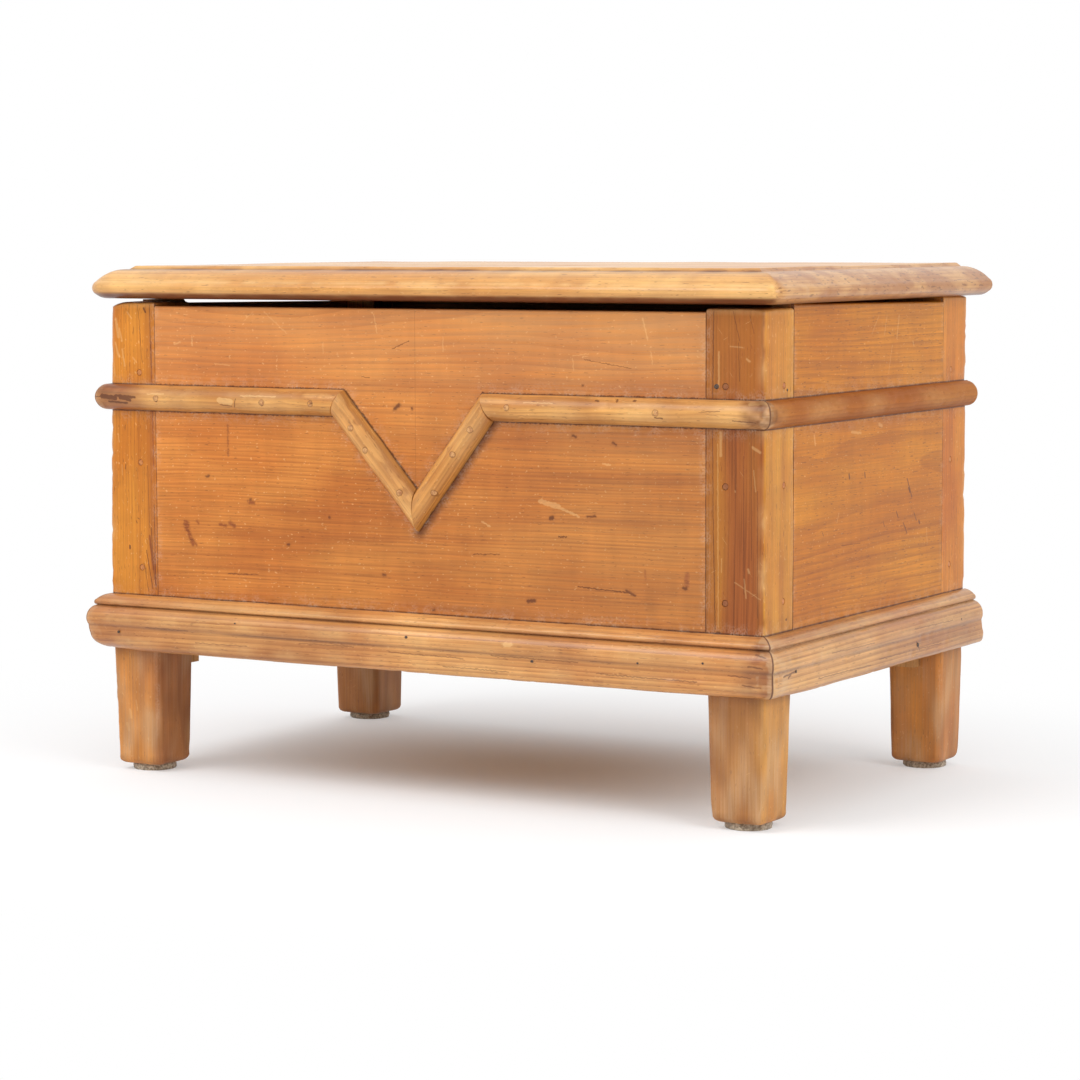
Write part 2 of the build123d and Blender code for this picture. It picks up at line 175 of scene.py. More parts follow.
def srgb(red, green, blue):
    """A colour as it looks on a screen, 0 to 255, turned into the linear colour that shaders take."""
    def linear(part):
        part /= 255
        return part / 12.92 if part <= 0.04045 else ((part + 0.055) / 1.055) ** 2.4
    return (linear(red), linear(green), linear(blue), 1.0)


def plug(tree, socket, item):
    """Sets an input from a value, a number or a colour."""
    if isinstance(item, Value):
        tree.links.new(item.socket, socket)
    else:
        socket.default_value = item


def add_node(tree, kind, inputs, output=0, **settings):
    """A new shader node with its settings and inputs, as the value of one of its outputs."""
    node = tree.nodes.new("ShaderNode" + kind)
    for name, setting in settings.items():
        setattr(node, name, setting)
    for key, item in dict(inputs).items():
        plug(tree, node.inputs[key], item)
    return Value(tree, node.outputs[output])


class Value:
    """An output in a shader, so that a material reads as arithmetic."""

    def __init__(self, tree, socket):
        self.tree = tree
        self.socket = socket

    def math(self, operation, *others):
        return add_node(self.tree, "Math", enumerate((self, *others)), operation=operation)

    def vector(self, operation, *others, output=0):
        return add_node(self.tree, "VectorMath", enumerate((self, *others)), output, operation=operation)

    def __add__(self, other):
        return self.math("ADD", other)

    def __sub__(self, other):
        return self.math("SUBTRACT", other)

    def __mul__(self, other):
        return self.math("MULTIPLY", other)

    def __truediv__(self, other):
        return self.math("DIVIDE", other)

    def __abs__(self):
        return self.math("ABSOLUTE")


def step(value, low, high):
    """0 at low, 1 at high and smooth between. Low may be the greater."""
    ends = (low, high, 0.0, 1.0) if low < high else (high, low, 1.0, 0.0)
    inputs = zip(("Value", "From Min", "From Max", "To Min", "To Max"), (value, *ends))
    return add_node(value.tree, "MapRange", inputs, interpolation_type="SMOOTHSTEP")


def tree_of(*items):
    """The node tree of the first item that is a value."""
    return next(item.tree for item in items if isinstance(item, Value))


def blend(amount, first, second, mode="MIX"):
    """Two colours mixed by an amount from 0 to 1."""
    inputs = {0: amount, 6: first, 7: second}
    return add_node(tree_of(amount, first, second), "Mix", inputs, 2, data_type="RGBA", blend_type=mode)


def noise(vector, stretch, detail=1.0, seed=0.0, output=0):
    """Noise from 0 to 1. Stretch is bumps per metre, along all axes or along each."""
    if not isinstance(stretch, tuple):
        stretch = (stretch,) * 3
    scaled = vector.vector("MULTIPLY", stretch).vector("ADD", (seed, seed * 1.7, seed * 2.3))
    return add_node(vector.tree, "TexNoise", {"Scale": 1.0, "Detail": detail, "Vector": scaled}, output)


def wobbled(vector, stretch, amount):
    """Coordinates moved about by up to half an amount each way."""
    shift = noise(vector, stretch, output="Color").vector("SUBTRACT", (0.5,) * 3)
    return vector.vector("ADD", shift.vector("MULTIPLY", (amount,) * 3))


def cells(vector, stretch, seed):
    """Distance to the nearest of scattered points, and a random number for that point."""
    scaled = vector.vector("MULTIPLY", stretch).vector("ADD", (seed, seed * 1.3, seed * 0.7))
    distance = add_node(vector.tree, "TexVoronoi", {"Scale": 1.0, "Vector": scaled}, "Distance")
    colour = Value(vector.tree, distance.socket.node.outputs["Color"])
    return distance, add_node(vector.tree, "SeparateColor", {0: colour})


def random_of(number, seed):
    """A random number, 0 to 1, for each whole number."""
    return add_node(number.tree, "TexWhiteNoise", {"W": number + seed}, noise_dimensions="1D")


def turned(vector, angle):
    """The coordinates turned about their Z axis, in degrees."""
    inputs = {"Angle": math.radians(angle), "Vector": vector}
    return add_node(vector.tree, "VectorRotate", inputs, rotation_type="Z_AXIS")


def attribute(tree, name, output="Fac"):
    """A number or vector that is stored on the mesh."""
    return add_node(tree, "Attribute", {}, output, attribute_name=name)


def place_on(tree):
    """The point's place in the frame, at rest."""
    return add_node(tree, "TexCoord", {}, "Object")


def parts_of(vector):
    """A vector's three parts."""
    first = add_node(vector.tree, "SeparateXYZ", {0: vector})
    return [Value(vector.tree, socket) for socket in first.socket.node.outputs]


def joined(x, y, z):
    """A vector from three parts."""
    return add_node(tree_of(x, y, z), "CombineXYZ", enumerate((x, y, z)))


def from_line(flat, start, end):
    """Distance from a point to the stretch between two points, or to one point."""
    start = Vector(start)
    run = Vector(end) - start
    away = flat.vector("SUBTRACT", start)
    if run.length < 1e-6:
        return away.vector("LENGTH", output=1)
    share = away.vector("DOT_PRODUCT", run / run.length_squared, output=1)
    share = share.math("MAXIMUM", 0.0).math("MINIMUM", 1.0)
    along = add_node(flat.tree, "VectorMath", {0: run, "Scale": share}, operation="SCALE")
    return away.vector("SUBTRACT", along).vector("LENGTH", output=1)


def either(*masks):
    """The strongest of some masks."""
    return reduce(lambda most, mask: most.math("MAXIMUM", mask), masks)


def nearest(distances):
    """The least of some distances. Each is used as soon as it is made, as a shader holds few values."""
    return reduce(lambda least, distance: least.math("MINIMUM", distance), distances)


def strokes(flat, marks, blur=0.4):
    """Where hand-made marks lie: each is (u, v, u, v, half width) in millimetres on a face."""
    distances = (from_line(flat, (u0 * MM, v0 * MM, 0), (u1 * MM, v1 * MM, 0)) - half * MM
                 for u0, v0, u1, v1, half in marks)
    return step(nearest(distances), blur * MM, -blur * MM)


def new_material(name):
    """A material, its node tree and its main shader."""
    material = bpy.data.materials.new(name)
    material.use_nodes = True
    tree = material.node_tree
    return material, tree, tree.nodes["Principled BSDF"]


def finish_surface(tree, shader, colour, roughness, height, depth):
    """Links a material's colour, roughness and relief. Depth is the relief's height in metres."""
    relief = add_node(tree, "Bump", {"Distance": depth, "Strength": 1.0, "Height": height})
    for name, item in (("Base Color", colour), ("Roughness", roughness), ("Normal", relief)):
        plug(tree, shader.inputs[name], item)


# ---------------------------------------------------------------- marks on the faces, in millimetres

# Front panel, as (x, z, x, z, half width)
FRONT_KNOTS = (
    (-239, 292, -236, 293, 1.0), (-188, 272, -187, 272, 0.9), (-145, 231, -144, 231, 1.2),
    (-38, 208, -36, 208, 0.9), (-98, 259, -97, 259, 0.9), (142, 268, 144, 269, 1.6),
    (180, 271, 188, 272, 0.9), (118, 192, 125, 193, 1.6), (219, 207, 228, 203, 1.0),
    (277, 212, 279, 212, 1.4), (16, 178, 18, 178, 0.9), (175, 388, 176, 388, 0.8),
    (-24, 362, -19, 366, 1.5), (-5, 363, -5, 363, 1.3), (165, 343, 168, 342, 1.2),
    (206, 338, 209, 336, 1.0),
)
FRONT_DARK_CUTS = (
    (-26, 417, -8, 425, 0.35), (177, 411, 224, 404, 0.25), (170, 208, 222, 205, 0.5),
    (-60, 391, -52, 390, 0.3), (150, 252, 158, 252, 0.6), (60, 232, 88, 233, 0.4),
    (-215, 200, -180, 201, 0.4),
)
FRONT_PALE_CUTS = (
    (-193, 441, -182, 450, 0.25), (-170, 450, -144, 430, 0.35), (-46, 449, -43, 432, 0.5),
    (-103, 422, -103, 412, 0.4), (-254, 426, -254, 417, 0.6), (29, 429, 29, 416, 0.4),
    (165, 414, 181, 416, 0.35), (165, 412, 166, 401, 0.3), (236, 448, 241, 429, 0.7),
    (244, 419, 246, 408, 0.5), (-275, 418, -268, 420, 0.8), (-228, 400, -210, 399, 0.4),
    (131, 283, 150, 279, 2.2), (148, 279, 171, 271, 1.1), (70, 262, 78, 258, 0.7),
    (196, 319, 203, 318, 0.8),
)
FRONT_RED = (
    (-213, 342, -213, 313, 0.8), (-264, 246, -262, 240, 3.2), (-261, 238, -256, 227, 2.2),
    (-257, 232, -252, 226, 1.2), (-224, 247, -217, 246, 1.5), (-212, 249, -207, 246, 2.0),
    (280, 215, 280, 224, 2.2), (238, 226, 239, 218, 0.6), (-251, 249, -249, 247, 1.2),
    (-190, 270, -184, 269, 1.6),
)
FRONT_SCRIBE = ((-1.5, 454, -1.5, 288, 0.2),)

# Near post's front face, as (x, z, x, z, half width)
POST_DARK = (
    (306, 455, 305, 380, 0.45), (305, 352, 306, 260, 0.35), (306, 262, 308, 178, 0.4),
    (325, 455, 331, 430, 0.25), (330, 428, 331, 395, 0.2), (341, 452, 345, 436, 0.2),
    (317.5, 201, 317.5, 201, 2.3), (310, 174.6, 312, 174.6, 1.5), (327, 352, 327, 300, 0.15),
    (335, 330, 336, 210, 0.2), (343, 352, 343, 240, 0.2), (349, 300, 349, 190, 0.25),
)
POST_PALE = (
    (327, 220, 352, 206, 0.35), (336, 223, 338, 207, 0.6), (322, 425, 334, 424, 0.45),
    (338, 414, 341, 412, 0.9), (344, 338, 351, 334, 1.2), (345, 318, 347, 300, 0.4),
    (313, 350, 313, 330, 1.3), (310, 340, 311, 180, 0.4), (340, 232, 341, 229, 0.8),
    (311, 420, 311, 390, 0.8), (327, 300, 327, 299, 0.5), (314, 240, 314, 228, 0.4),
)
POST_RED = ((327, 42, 327, 24, 0.5), (323, 33, 324, 26, 0.3))

# Left post's front face, as (x, z, x, z, half width)
LEFT_POST_DARK = (
    (-312, 218, -305, 181, 0.45), (-306, 240, -303, 190, 0.4), (-332, 221, -332, 219, 1.1),
    (-309, 300, -308, 240, 0.25), (-302, 262, -301, 180, 0.4), (-315, 205, -310, 178, 0.3),
    (-318, 455, -314, 400, 0.25), (-304, 455, -303, 395, 0.3), (-322, 249, -320, 248, 0.4),
    (-324, 246, -323, 244, 0.4), (-311, 452, -309, 448, 1.0), (-336, 300, -336, 296, 0.4),
)
LEFT_POST_PALE = (
    (-345, 441, -342, 424, 1.5), (-341, 432, -338, 420, 1.0), (-346, 418, -342, 405, 1.1),
    (-338, 412, -335, 396, 0.9), (-331, 448, -326, 442, 0.7), (-349, 400, -347, 386, 0.6),
    (-325, 404, -321, 400, 0.8), (-344, 330, -343, 322, 0.5), (-340, 300, -340, 290, 0.4),
    (-336, 60, -335, 52, 1.3), (-340, 46, -338, 40, 1.6), (-328, 70, -327, 60, 0.6),
)
LEFT_POST_RED = ((-308, 232, -304, 200, 1.2), (-303, 420, -302, 300, 0.8), (-303, 216, -301, 184, 1.0))

NEAR_SIDE_DARK = (
    (-173, 184.6, -172, 184.6, 1.2), (-172.5, 386, -173, 380, 0.7), (-151, 187, -151, 187, 0.9),
)

# Bead's front, as (x, z, x, z, half width)
BEAD_DARK = (
    (-354, 367, -338, 365.5, 2.3), (-338, 368, -314, 366.5, 1.2), (-346, 362, -324, 361, 1.0),
    (-332, 366, -320, 364, 1.6), (-372, 366, -352, 366.5, 0.5), (-197, 360, -195, 368, 0.5),
    (-214, 362, -200, 361, 0.4), (-111, 364, -108, 366, 0.9), (-289, 363, -288, 363, 0.5),
    (-165, 362, -164, 363, 0.5), (193, 375, 196, 375, 0.8), (213, 376, 215, 375, 0.7),
    (231, 376, 233, 376, 0.8), (254, 362, 262, 361.5, 0.5), (300, 368, 318, 369, 0.3),
    (330, 361, 352, 360, 0.4), (-60, 358, -58, 358, 0.5),
)
BEAD_PALE = (
    (-214, 366, -201, 365, 2.9), (-300, 370, -280, 370.5, 0.5), (120, 372, 150, 372, 0.4),
    (345, 376, 362, 377, 1.4), (-190, 371, -150, 371, 0.5),
)

# Base moulding's front and right side, as (x or y, z, x or y, z, half width)
BASE_DARK = (
    (350, 150, 364, 149, 0.5), (330, 141, 352, 139.5, 0.4), (355, 160, 366, 158, 0.5),
    (344, 133, 362, 132, 0.4), (-120, 141, -60, 141.5, 0.3), (-20, 139, 60, 138.5, 0.35),
    (90, 143, 180, 142.5, 0.35), (-300, 145, -250, 145, 0.3), (-240, 134, -180, 134.5, 0.3),
    (40, 130, 110, 129.5, 0.3), (200, 134, 300, 133, 0.35), (150, 155, 190, 155, 0.25),
)
BASE_PALE = ((105, 154, 111, 154, 2.0), (-40, 158, 20, 158, 0.4), (230, 160, 290, 160, 0.4))
BASE_RED = ((198, 127, 206, 127, 1.5), (-280, 150, -230, 150, 1.5))
BASE_SIDE_DARK = (
    (-214.5, 140, -191.5, 142, 0.8), (-206, 138, -200, 141, 0.9), (-150, 131, -40, 130, 0.35),
    (-20, 133, 120, 132, 0.3), (-120, 150, -30, 149, 0.3), (60, 152, 150, 151, 0.3),
    (66, 139, 70, 132, 0.8),
)

# Plugs over the vee's nails and the bead's, as (x, z) on the face, and nails in the base moulding
VEE_PLUGS = {-1: ((-65, 344), (-49, 324), (-12, 286)), 1: ((64.5, 346), (45.5, 323), (24.5, 287))}
BEAD_PLUGS = ((-289, 366), (-165, 365), (-110, 365.5), (103, 367), (255, 366))
FRONT_NAILS = (
    (-333, 139, 1.4), (-194, 155, 1.2), (-1, 154, 1.5), (133, 140, 1.8), (241, 146, 1.2), (306, 150, 1.1),
)
SIDE_NAILS = ((68, 136, 2.5), (-191, 142, 1.6), (170, 150, 1.2))

# Right side panel, as (y, z, y, z, half width)
SIDE_DARK = (
    (-45, 304, -44, 300, 1.1), (-11, 303, -10, 299, 1.1), (84, 291, 95, 273, 0.8), (76, 250, 84, 240, 0.7),
    (88, 282, 90, 279, 1.6), (112, 249, 113, 247, 1.3), (60, 262, 64, 256, 0.8), (100, 258, 106, 250, 0.6),
    (30, 255, 33, 250, 0.5), (-100, 255, -98, 252, 0.5), (40, 430, 44, 429, 0.5), (-60, 240, -20, 239, 0.3),
)
SIDE_PALE = (
    (3, 430, 18, 446, 0.3), (30, 428, 36, 446, 0.35), (63, 445, 58, 424, 0.7), (48, 418, 40, 392, 0.3),
    (62, 372, 60, 352, 0.3), (-118, 343, -116, 335, 1.2), (20, 346, 26, 344, 1.6),
    (-40, 342, -20, 340, 1.2), (95, 420, 97, 416, 0.8), (-70, 262, -66, 270, 0.4),
    (130, 240, 132, 225, 0.4), (-95, 410, -88, 411, 0.4),
)


# ---------------------------------------------------------------- pine

STRAW = srgb(240, 196, 132)
UMBER = srgb(84, 42, 24)
WAX = srgb(222, 198, 172)
DRY = srgb(214, 178, 138)
DRY_FIBRE = srgb(190, 146, 98)
RED = srgb(154, 82, 36)
RED_FIBRE = srgb(104, 48, 20)

POST_COLOURS = ((214, 137, 44), (194, 110, 28), (160, 78, 22))
INNER_COLOURS = ((206, 160, 104), (184, 134, 80), (146, 92, 50))

# Pale, rich and ring colours; rings' spacing and wander in millimetres, seed and contrast; gloss and coat
PINES = {
    "front": (((210, 134, 60), (192, 112, 44), (150, 74, 30)), 2.9, 32, 7.0, 0.38, 0.42, 0.08),
    "side": (((206, 130, 24), (184, 106, 12), (130, 62, 10)), 2.6, 18, 8.0, 0.42, 0.42, 0.08),
    "back": (((206, 142, 78), (186, 118, 60), (146, 82, 40)), 4.2, 20, 9.0, 0.45, 0.55, 0.08),
    "post": (POST_COLOURS, 3.4, 10, 2.0, 0.28, 0.42, 0.08),
    "left_post": (POST_COLOURS, 3.4, 12, 2.5, 0.28, 0.42, 0.08),
    "near_post": (((212, 146, 50), (192, 120, 36), (160, 86, 28)), 3.4, 14, 3.0, 0.2, 0.42, 0.08),
    "base": (((228, 168, 98), (202, 134, 70), (146, 80, 38)), 4.2, 9, 4.0, 0.7, 0.38, 0.5),
    "bead": (((230, 170, 96), (206, 138, 64), (146, 76, 32)), 3.0, 9, 5.0, 0.5, 0.36, 0.15),
    "side_bead": (((222, 146, 52), (196, 116, 34), (150, 78, 24)), 3.0, 9, 5.5, 0.4, 0.6, 0.0),
    "lid": (((232, 182, 112), (208, 146, 76), (170, 100, 48)), 4, 14, 6.0, 0.34, 0.36, 0.3),
    "boards": (INNER_COLOURS, 5, 18, 11.0, 0.45, 0.7, 0.08),
    "inner_sides": (INNER_COLOURS, 4, 14, 12.0, 0.45, 0.7, 0.08),
    "blocks": (INNER_COLOURS, 4, 10, 13.0, 0.45, 0.75, 0.08),
}


def growth_rings(grain, spacing, wander, seed):
    """How dark the rings are at a point whose cross axes start at the pith, 0 to 1."""
    slow = noise(grain, (1.6, 7, 7), 1, seed) - 0.5
    quick = noise(grain, (10, 50, 50), 1, seed + 3) - 0.5
    reach = grain.vector("MULTIPLY", (0, 1, 1)).vector("LENGTH", output=1)
    count = (reach + slow * wander + quick * (wander * 0.1)) / spacing
    uneven = noise(joined(count, 0, 0), (0.33, 1, 1), 1, seed + 5) - 0.5
    count = count + uneven * 1.8
    phase = count.math("FRACT")
    late = step(phase, 0.2, 0.9) * step(phase, 1.0, 0.93)
    return late * (random_of(count.math("FLOOR"), seed) * 0.8 + 0.2)


def scratches(grain, angle, length, width, share, seed):
    """Scattered short strokes at an angle to the grain, 0 to 1."""
    lean = turned(grain, angle)
    distance, chance = cells(lean, (0.35 / length, 0.35 / width, 0.35 / width), seed)
    return step(distance, 0.16, 0.05) * step(chance, 1 - share, 1.001 - share)


def outer_shell(place):
    """1 on the outside of the case, 0 inside it."""
    x, y, _ = parts_of(place)
    flank = step(abs(x), half_width - 4 * MM, half_width - 2.5 * MM)
    front = step(y, case_front + 4 * MM, case_front + 2.5 * MM)
    back = step(y, case_back - 4 * MM, case_back - 2.5 * MM)
    return either(flank, front, back)


def seam_distance(place, with_bead=True):
    """Distance on the case's outside to its joints, to the bead's edges and to the base moulding."""
    x, y, z = parts_of(place)
    joints = nearest((abs(abs(x) - joint_x), abs(y - joint_front), abs(y - joint_back)))
    levels = abs(z - base_top)
    if with_bead:
        levels = nearest((levels, abs(abs(z - bead_z) - bead_radius)))
    return joints, levels


def seam_dirt(joints, levels):
    """Dark residue in the seams."""
    return either(step(joints, 0.7 * MM, 0.2 * MM) * 0.8, step(levels, 1.6 * MM, 0.3 * MM))


def seam_wax(place, joints, levels):
    """Pale old wax beside the seams."""
    patch = noise(place, 90, 1, 8.0)
    spread = either(step(joints, 2.4 * MM, 0.6 * MM) * 0.8, step(levels, 4.5 * MM, 1.2 * MM))
    haze = either(step(levels, 14 * MM, 1 * MM), step(joints, 9 * MM, 1 * MM)) * 0.45
    return either(spread * step(patch, 0.45, 0.65) * 0.6, haze * step(patch, 0.3, 0.7))


def on_post(tree):
    """Residue in the seams round a post, but for the level ones on the back."""
    place = place_on(tree)
    joints, levels = seam_distance(place)
    levels = levels + step(parts_of(place)[1], case_back - 3 * MM, case_back - 1 * MM) * (50 * MM)
    outside = outer_shell(place)
    return {"dirt": seam_dirt(joints, levels) * outside, "wax": seam_wax(place, joints, levels) * outside}


def on_marked_post(dark, pale, red):
    """A front post's own cracks, holes and scratches besides."""
    def details(tree):
        place = place_on(tree)
        marks = on_post(tree)
        x, y, _ = parts_of(place)
        u, v, w = parts_of(wobbled(place, 240, 1.2 * MM))
        face = step(y, case_front + 3 * MM, case_front + 1.5 * MM)
        flank = step(x, half_width - 3 * MM, half_width - 1.5 * MM) * (face * -1 + 1.0)
        flat = joined(u, w, 0.0)
        side_flat = joined(v, w, 0.0)
        marks["cuts"] = either(strokes(flat, dark) * face, strokes(side_flat, NEAR_SIDE_DARK) * flank)
        marks["pale"] = strokes(flat, pale, 0.7) * face * 0.6
        marks["red"] = strokes(flat, red) * face
        return marks
    return details


def on_side_panel(tree):
    """The right panel's knots and scratches, and the drier inner faces of both sides."""
    place = place_on(tree)
    marks = on_post(tree)
    x = parts_of(place)[0]
    _, v, w = parts_of(wobbled(place, 240, 1.4 * MM))
    flank = step(x, half_width - 3 * MM, half_width - 1.5 * MM)
    flat = joined(v, w, 0.0)
    marks["cuts"] = strokes(flat, SIDE_DARK) * flank
    marks["pale"] = strokes(flat, SIDE_PALE, 0.7) * flank * 0.6
    marks["dry"] = step(abs(x), half_width - 2.5 * MM, half_width - 4 * MM) * 0.45
    return marks


def on_front_panel(tree):
    """The front panel's knots, streaks and scratches, the residue along the bead and the vee, painted
    shadow beside the vee's arms, and painted light falloff and sheen.
    """
    place = place_on(tree)
    x, y, z = parts_of(place)
    face = step(y, case_front + 3 * MM, case_front + 1 * MM)
    u, _, w = parts_of(wobbled(place, 380, 2.6 * MM))
    flat = joined(u, w, 0.0)
    joints, levels = seam_distance(place, with_bead=False)
    for side in (-1, 1):
        outer, tip, apex, upper = vee_corners(side)
        lower_end = (side * joint_x, bead_z - bead_radius)
        upper_end = (side * joint_x, bead_z + bead_radius)
        for start, end in ((lower_end, outer), (upper_end, upper), (outer, tip), (upper, apex)):
            levels = nearest((levels, from_line(flat, (*start, 0), (*end, 0))))
    # Painted shadow below the right arm of the vee, and painted shade in a thin line along the left arm's
    # inner edge
    shadow_under_right_arm = step(from_line(flat, *((*corner, 0) for corner in vee_corners(1)[:2])), 10 * MM, 0.5 * MM)
    shade_by_left_arm = step(from_line(flat, *((*vee_corners(-1)[i], 0) for i in (3, 2))), 2 * MM, 0.5 * MM)
    return {
        "dirt": either(seam_dirt(joints, levels), shadow_under_right_arm * 0.8, shade_by_left_arm * 0.9) * face,
        "wax": seam_wax(place, joints, levels) * face,
        "cuts": either(strokes(flat, FRONT_KNOTS, 1.1), strokes(flat, FRONT_DARK_CUTS),
                       strokes(joined(x, z, 0.0), FRONT_SCRIBE, 0.3) * 0.45) * face,
        "pale": strokes(flat, FRONT_PALE_CUTS, 0.6) * face * 0.7,
        "red": either(strokes(flat, FRONT_RED, 1.4) * step(noise(place, (260, 1, 500), 1, 3.0), 0.2, 0.5),
                      strokes(flat, FRONT_KNOTS, 3.5) * 0.45) * face,
        # Painted light falloff: darker towards the bottom and towards the right. Painted sheen: paler
        # towards the right; also paler above the bead
        "tone": step(z, bead_z - 150 * MM, bead_z + 80 * MM) * 0.44 - 0.3 - x,
        "dry": step(x, -150 * MM, 300 * MM) * 0.1 + step(z, bead_z - 60 * MM, bead_z + 90 * MM) * 0.22,
    }


def on_moulding(tree):
    """Dirt along the mitres at the front corners, with bare worn wood beside it."""
    place = place_on(tree)
    x, y, _ = parts_of(place)
    mitre = abs((abs(x) + y - (half_width + case_front)) * math.sqrt(0.5))
    corner = step(y, case_front + 2 * MM, case_front) * step(abs(x), half_width - 2 * MM, half_width)
    corner = corner * (step(x, -10 * MM, 10 * MM) * 0.65 + 0.35)
    patch = noise(place, 130, 1, 4.0)
    return {"dirt": step(mitre, 1.3 * MM, 0.3 * MM) * corner,
            "dry": step(mitre + (patch - 0.5) * (22 * MM), 9 * MM, 2 * MM) * corner * 0.8}


def on_base(tree):
    """The base moulding's knot, dent and cracks besides its mitres."""
    marks = on_moulding(tree)
    u, v, w = parts_of(wobbled(place_on(tree), 300, 2.0 * MM))
    face = step(v, case_front - 3 * MM, case_front - 8 * MM)
    flank = step(u, half_width + 3 * MM, half_width + 8 * MM)
    flat = joined(u, w, 0.0)
    side_flat = joined(v, w, 0.0)
    marks["cuts"] = either(strokes(flat, BASE_DARK, 0.6) * face,
                           strokes(side_flat, BASE_SIDE_DARK, 0.6) * flank)
    marks["pale"] = strokes(flat, BASE_PALE, 0.8) * face
    marks["red"] = strokes(flat, BASE_RED, 2.5) * face * 0.6
    return marks


def on_bead(tree):
    """The bead's knot, patch and nicks besides its mitres, and a dark rim round each plug."""
    marks = on_moulding(tree)
    place = place_on(tree)
    y = parts_of(place)[1]
    u, _, w = parts_of(wobbled(place, 300, 1.6 * MM))
    face = step(y, case_front - 1 * MM, case_front - 4 * MM)
    flat = joined(u, w, 0.0)
    marks["cuts"] = strokes(flat, BEAD_DARK) * face
    marks["pale"] = strokes(flat, BEAD_PALE) * face
    centres = [(x * MM, z * MM, 0) for x, z in VEE_PLUGS[-1] + VEE_PLUGS[1] + BEAD_PLUGS]
    rims = (abs(from_line(flat, centre, centre) - plug_rim) for centre in centres)
    marks["dirt"] = either(marks["dirt"], step(nearest(rims), 0.9 * MM, 0.2 * MM) * face * 0.5)
    return marks


def pine(name, grain=None, details=None):
    """Waxed old pine: rings, fibre, flecks, patina, wear and residue, a painted sheen across the grain,
    with a piece's own marks and the painted shade and highlights that some pieces carry.
    """
    colours, spacing, wander, seed, contrast, gloss, coat = PINES[name]
    pale, rich, line = (srgb(*colour) for colour in colours)
    material, tree, shader = new_material("pine_" + name)
    grain = grain(tree) if grain else attribute(tree, "grain", "Vector")
    rings = growth_rings(grain, spacing * MM, wander * MM, seed)
    fibre = noise(grain, (14, 620, 620), 2, seed + 11)
    band = noise(grain, (2.5, 60, 60), 1, seed + 13)
    cloud = noise(grain, (7, 16, 16), 2, seed + 17)
    # Painted sheen: bright patches across the grain, like the shimmer of figured wood
    flame_sheen = noise(grain, (90, 26, 26), 1, seed + 19)
    fleck = step(noise(grain, (120, 800, 800), 1, seed + 23), 0.66, 0.73)
    glint = step(noise(grain, (260, 500, 500), 1, seed + 29), 0.67, 0.76)

    colour = blend(step(cloud, 0.3, 0.7), pale, rich)
    colour = blend(step(band, 0.45, 0.8) * 0.35, colour, line)
    colour = blend(rings * contrast, colour, line)
    colour = blend(fleck * 0.45, colour, UMBER)
    colour = blend(glint * 0.3, colour, STRAW)

    # Scattered scratches, and what the mesh and the piece's own marks say
    masks = {"pale": either(scratches(grain, 62, 9 * MM, 0.45 * MM, 0.06, seed),
                            scratches(grain, -38, 13 * MM, 0.4 * MM, 0.05, seed + 7)),
             "cuts": scratches(grain, 9, 6 * MM, 0.6 * MM, 0.06, seed + 31)}
    for kind in ("dirt", "wax", "dry", "red"):
        masks[kind] = attribute(tree, kind)
    extra = details(tree) if details else {}
    tone = extra.pop("tone", attribute(tree, "tone"))
    for kind, mask in extra.items():
        masks[kind] = either(masks[kind], mask)

    # Brightness from the fibre, the painted sheen and the tone, which on some pieces carries painted shade
    # and light falloff
    light = fibre * 0.62 + flame_sheen * 0.2 + (tone * 0.4 + 0.59)
    colour = blend(1.0, colour, joined(light, light, light), "MULTIPLY")
    red_tone = blend(step(fibre + rings * 0.25, 0.3, 1.0), RED, RED_FIBRE)
    colour = blend(masks["red"] * 0.92, colour, red_tone)
    # Wear pales the wood, and so do the painted highlights on the base moulding's crests
    worn = attribute(tree, "worn") * (noise(grain, (120, 240, 240), 1, seed + 37) + 0.3)
    colour = blend(worn.math("MINIMUM", 1.0) * 0.65, colour, STRAW)
    dry_tone = blend(step(fibre + rings * 0.1, 0.3, 0.9), DRY, DRY_FIBRE)
    colour = blend(masks["dry"] * 0.75, colour, dry_tone)
    colour = blend(masks["pale"] * 0.42, colour, STRAW)
    colour = blend(masks["cuts"] * 0.75, colour, UMBER)
    # Dirt, and painted shade that some pieces carry in the same mask
    dirt = masks["dirt"] * (cloud * 0.6 + 0.6)
    colour = blend(dirt.math("MINIMUM", 0.9), colour, UMBER)
    wax = masks["wax"] * step(noise(grain, (500, 700, 700), 1, seed + 41), 0.3, 0.65)
    colour = blend(wax.math("MINIMUM", 1.0) * 0.42, colour, WAX)

    roughness = fibre * 0.1 + (gloss - 0.05) + masks["dry"] * 0.25 + wax * 0.25
    finish_surface(tree, shader, colour, roughness, rings * 0.3 + fibre * 0.5, 0.1 * MM)
    shader.inputs["Specular IOR Level"].default_value = 0.25
    shader.inputs["Coat Weight"].default_value = coat
    shader.inputs["Coat Roughness"].default_value = 0.25
    return material


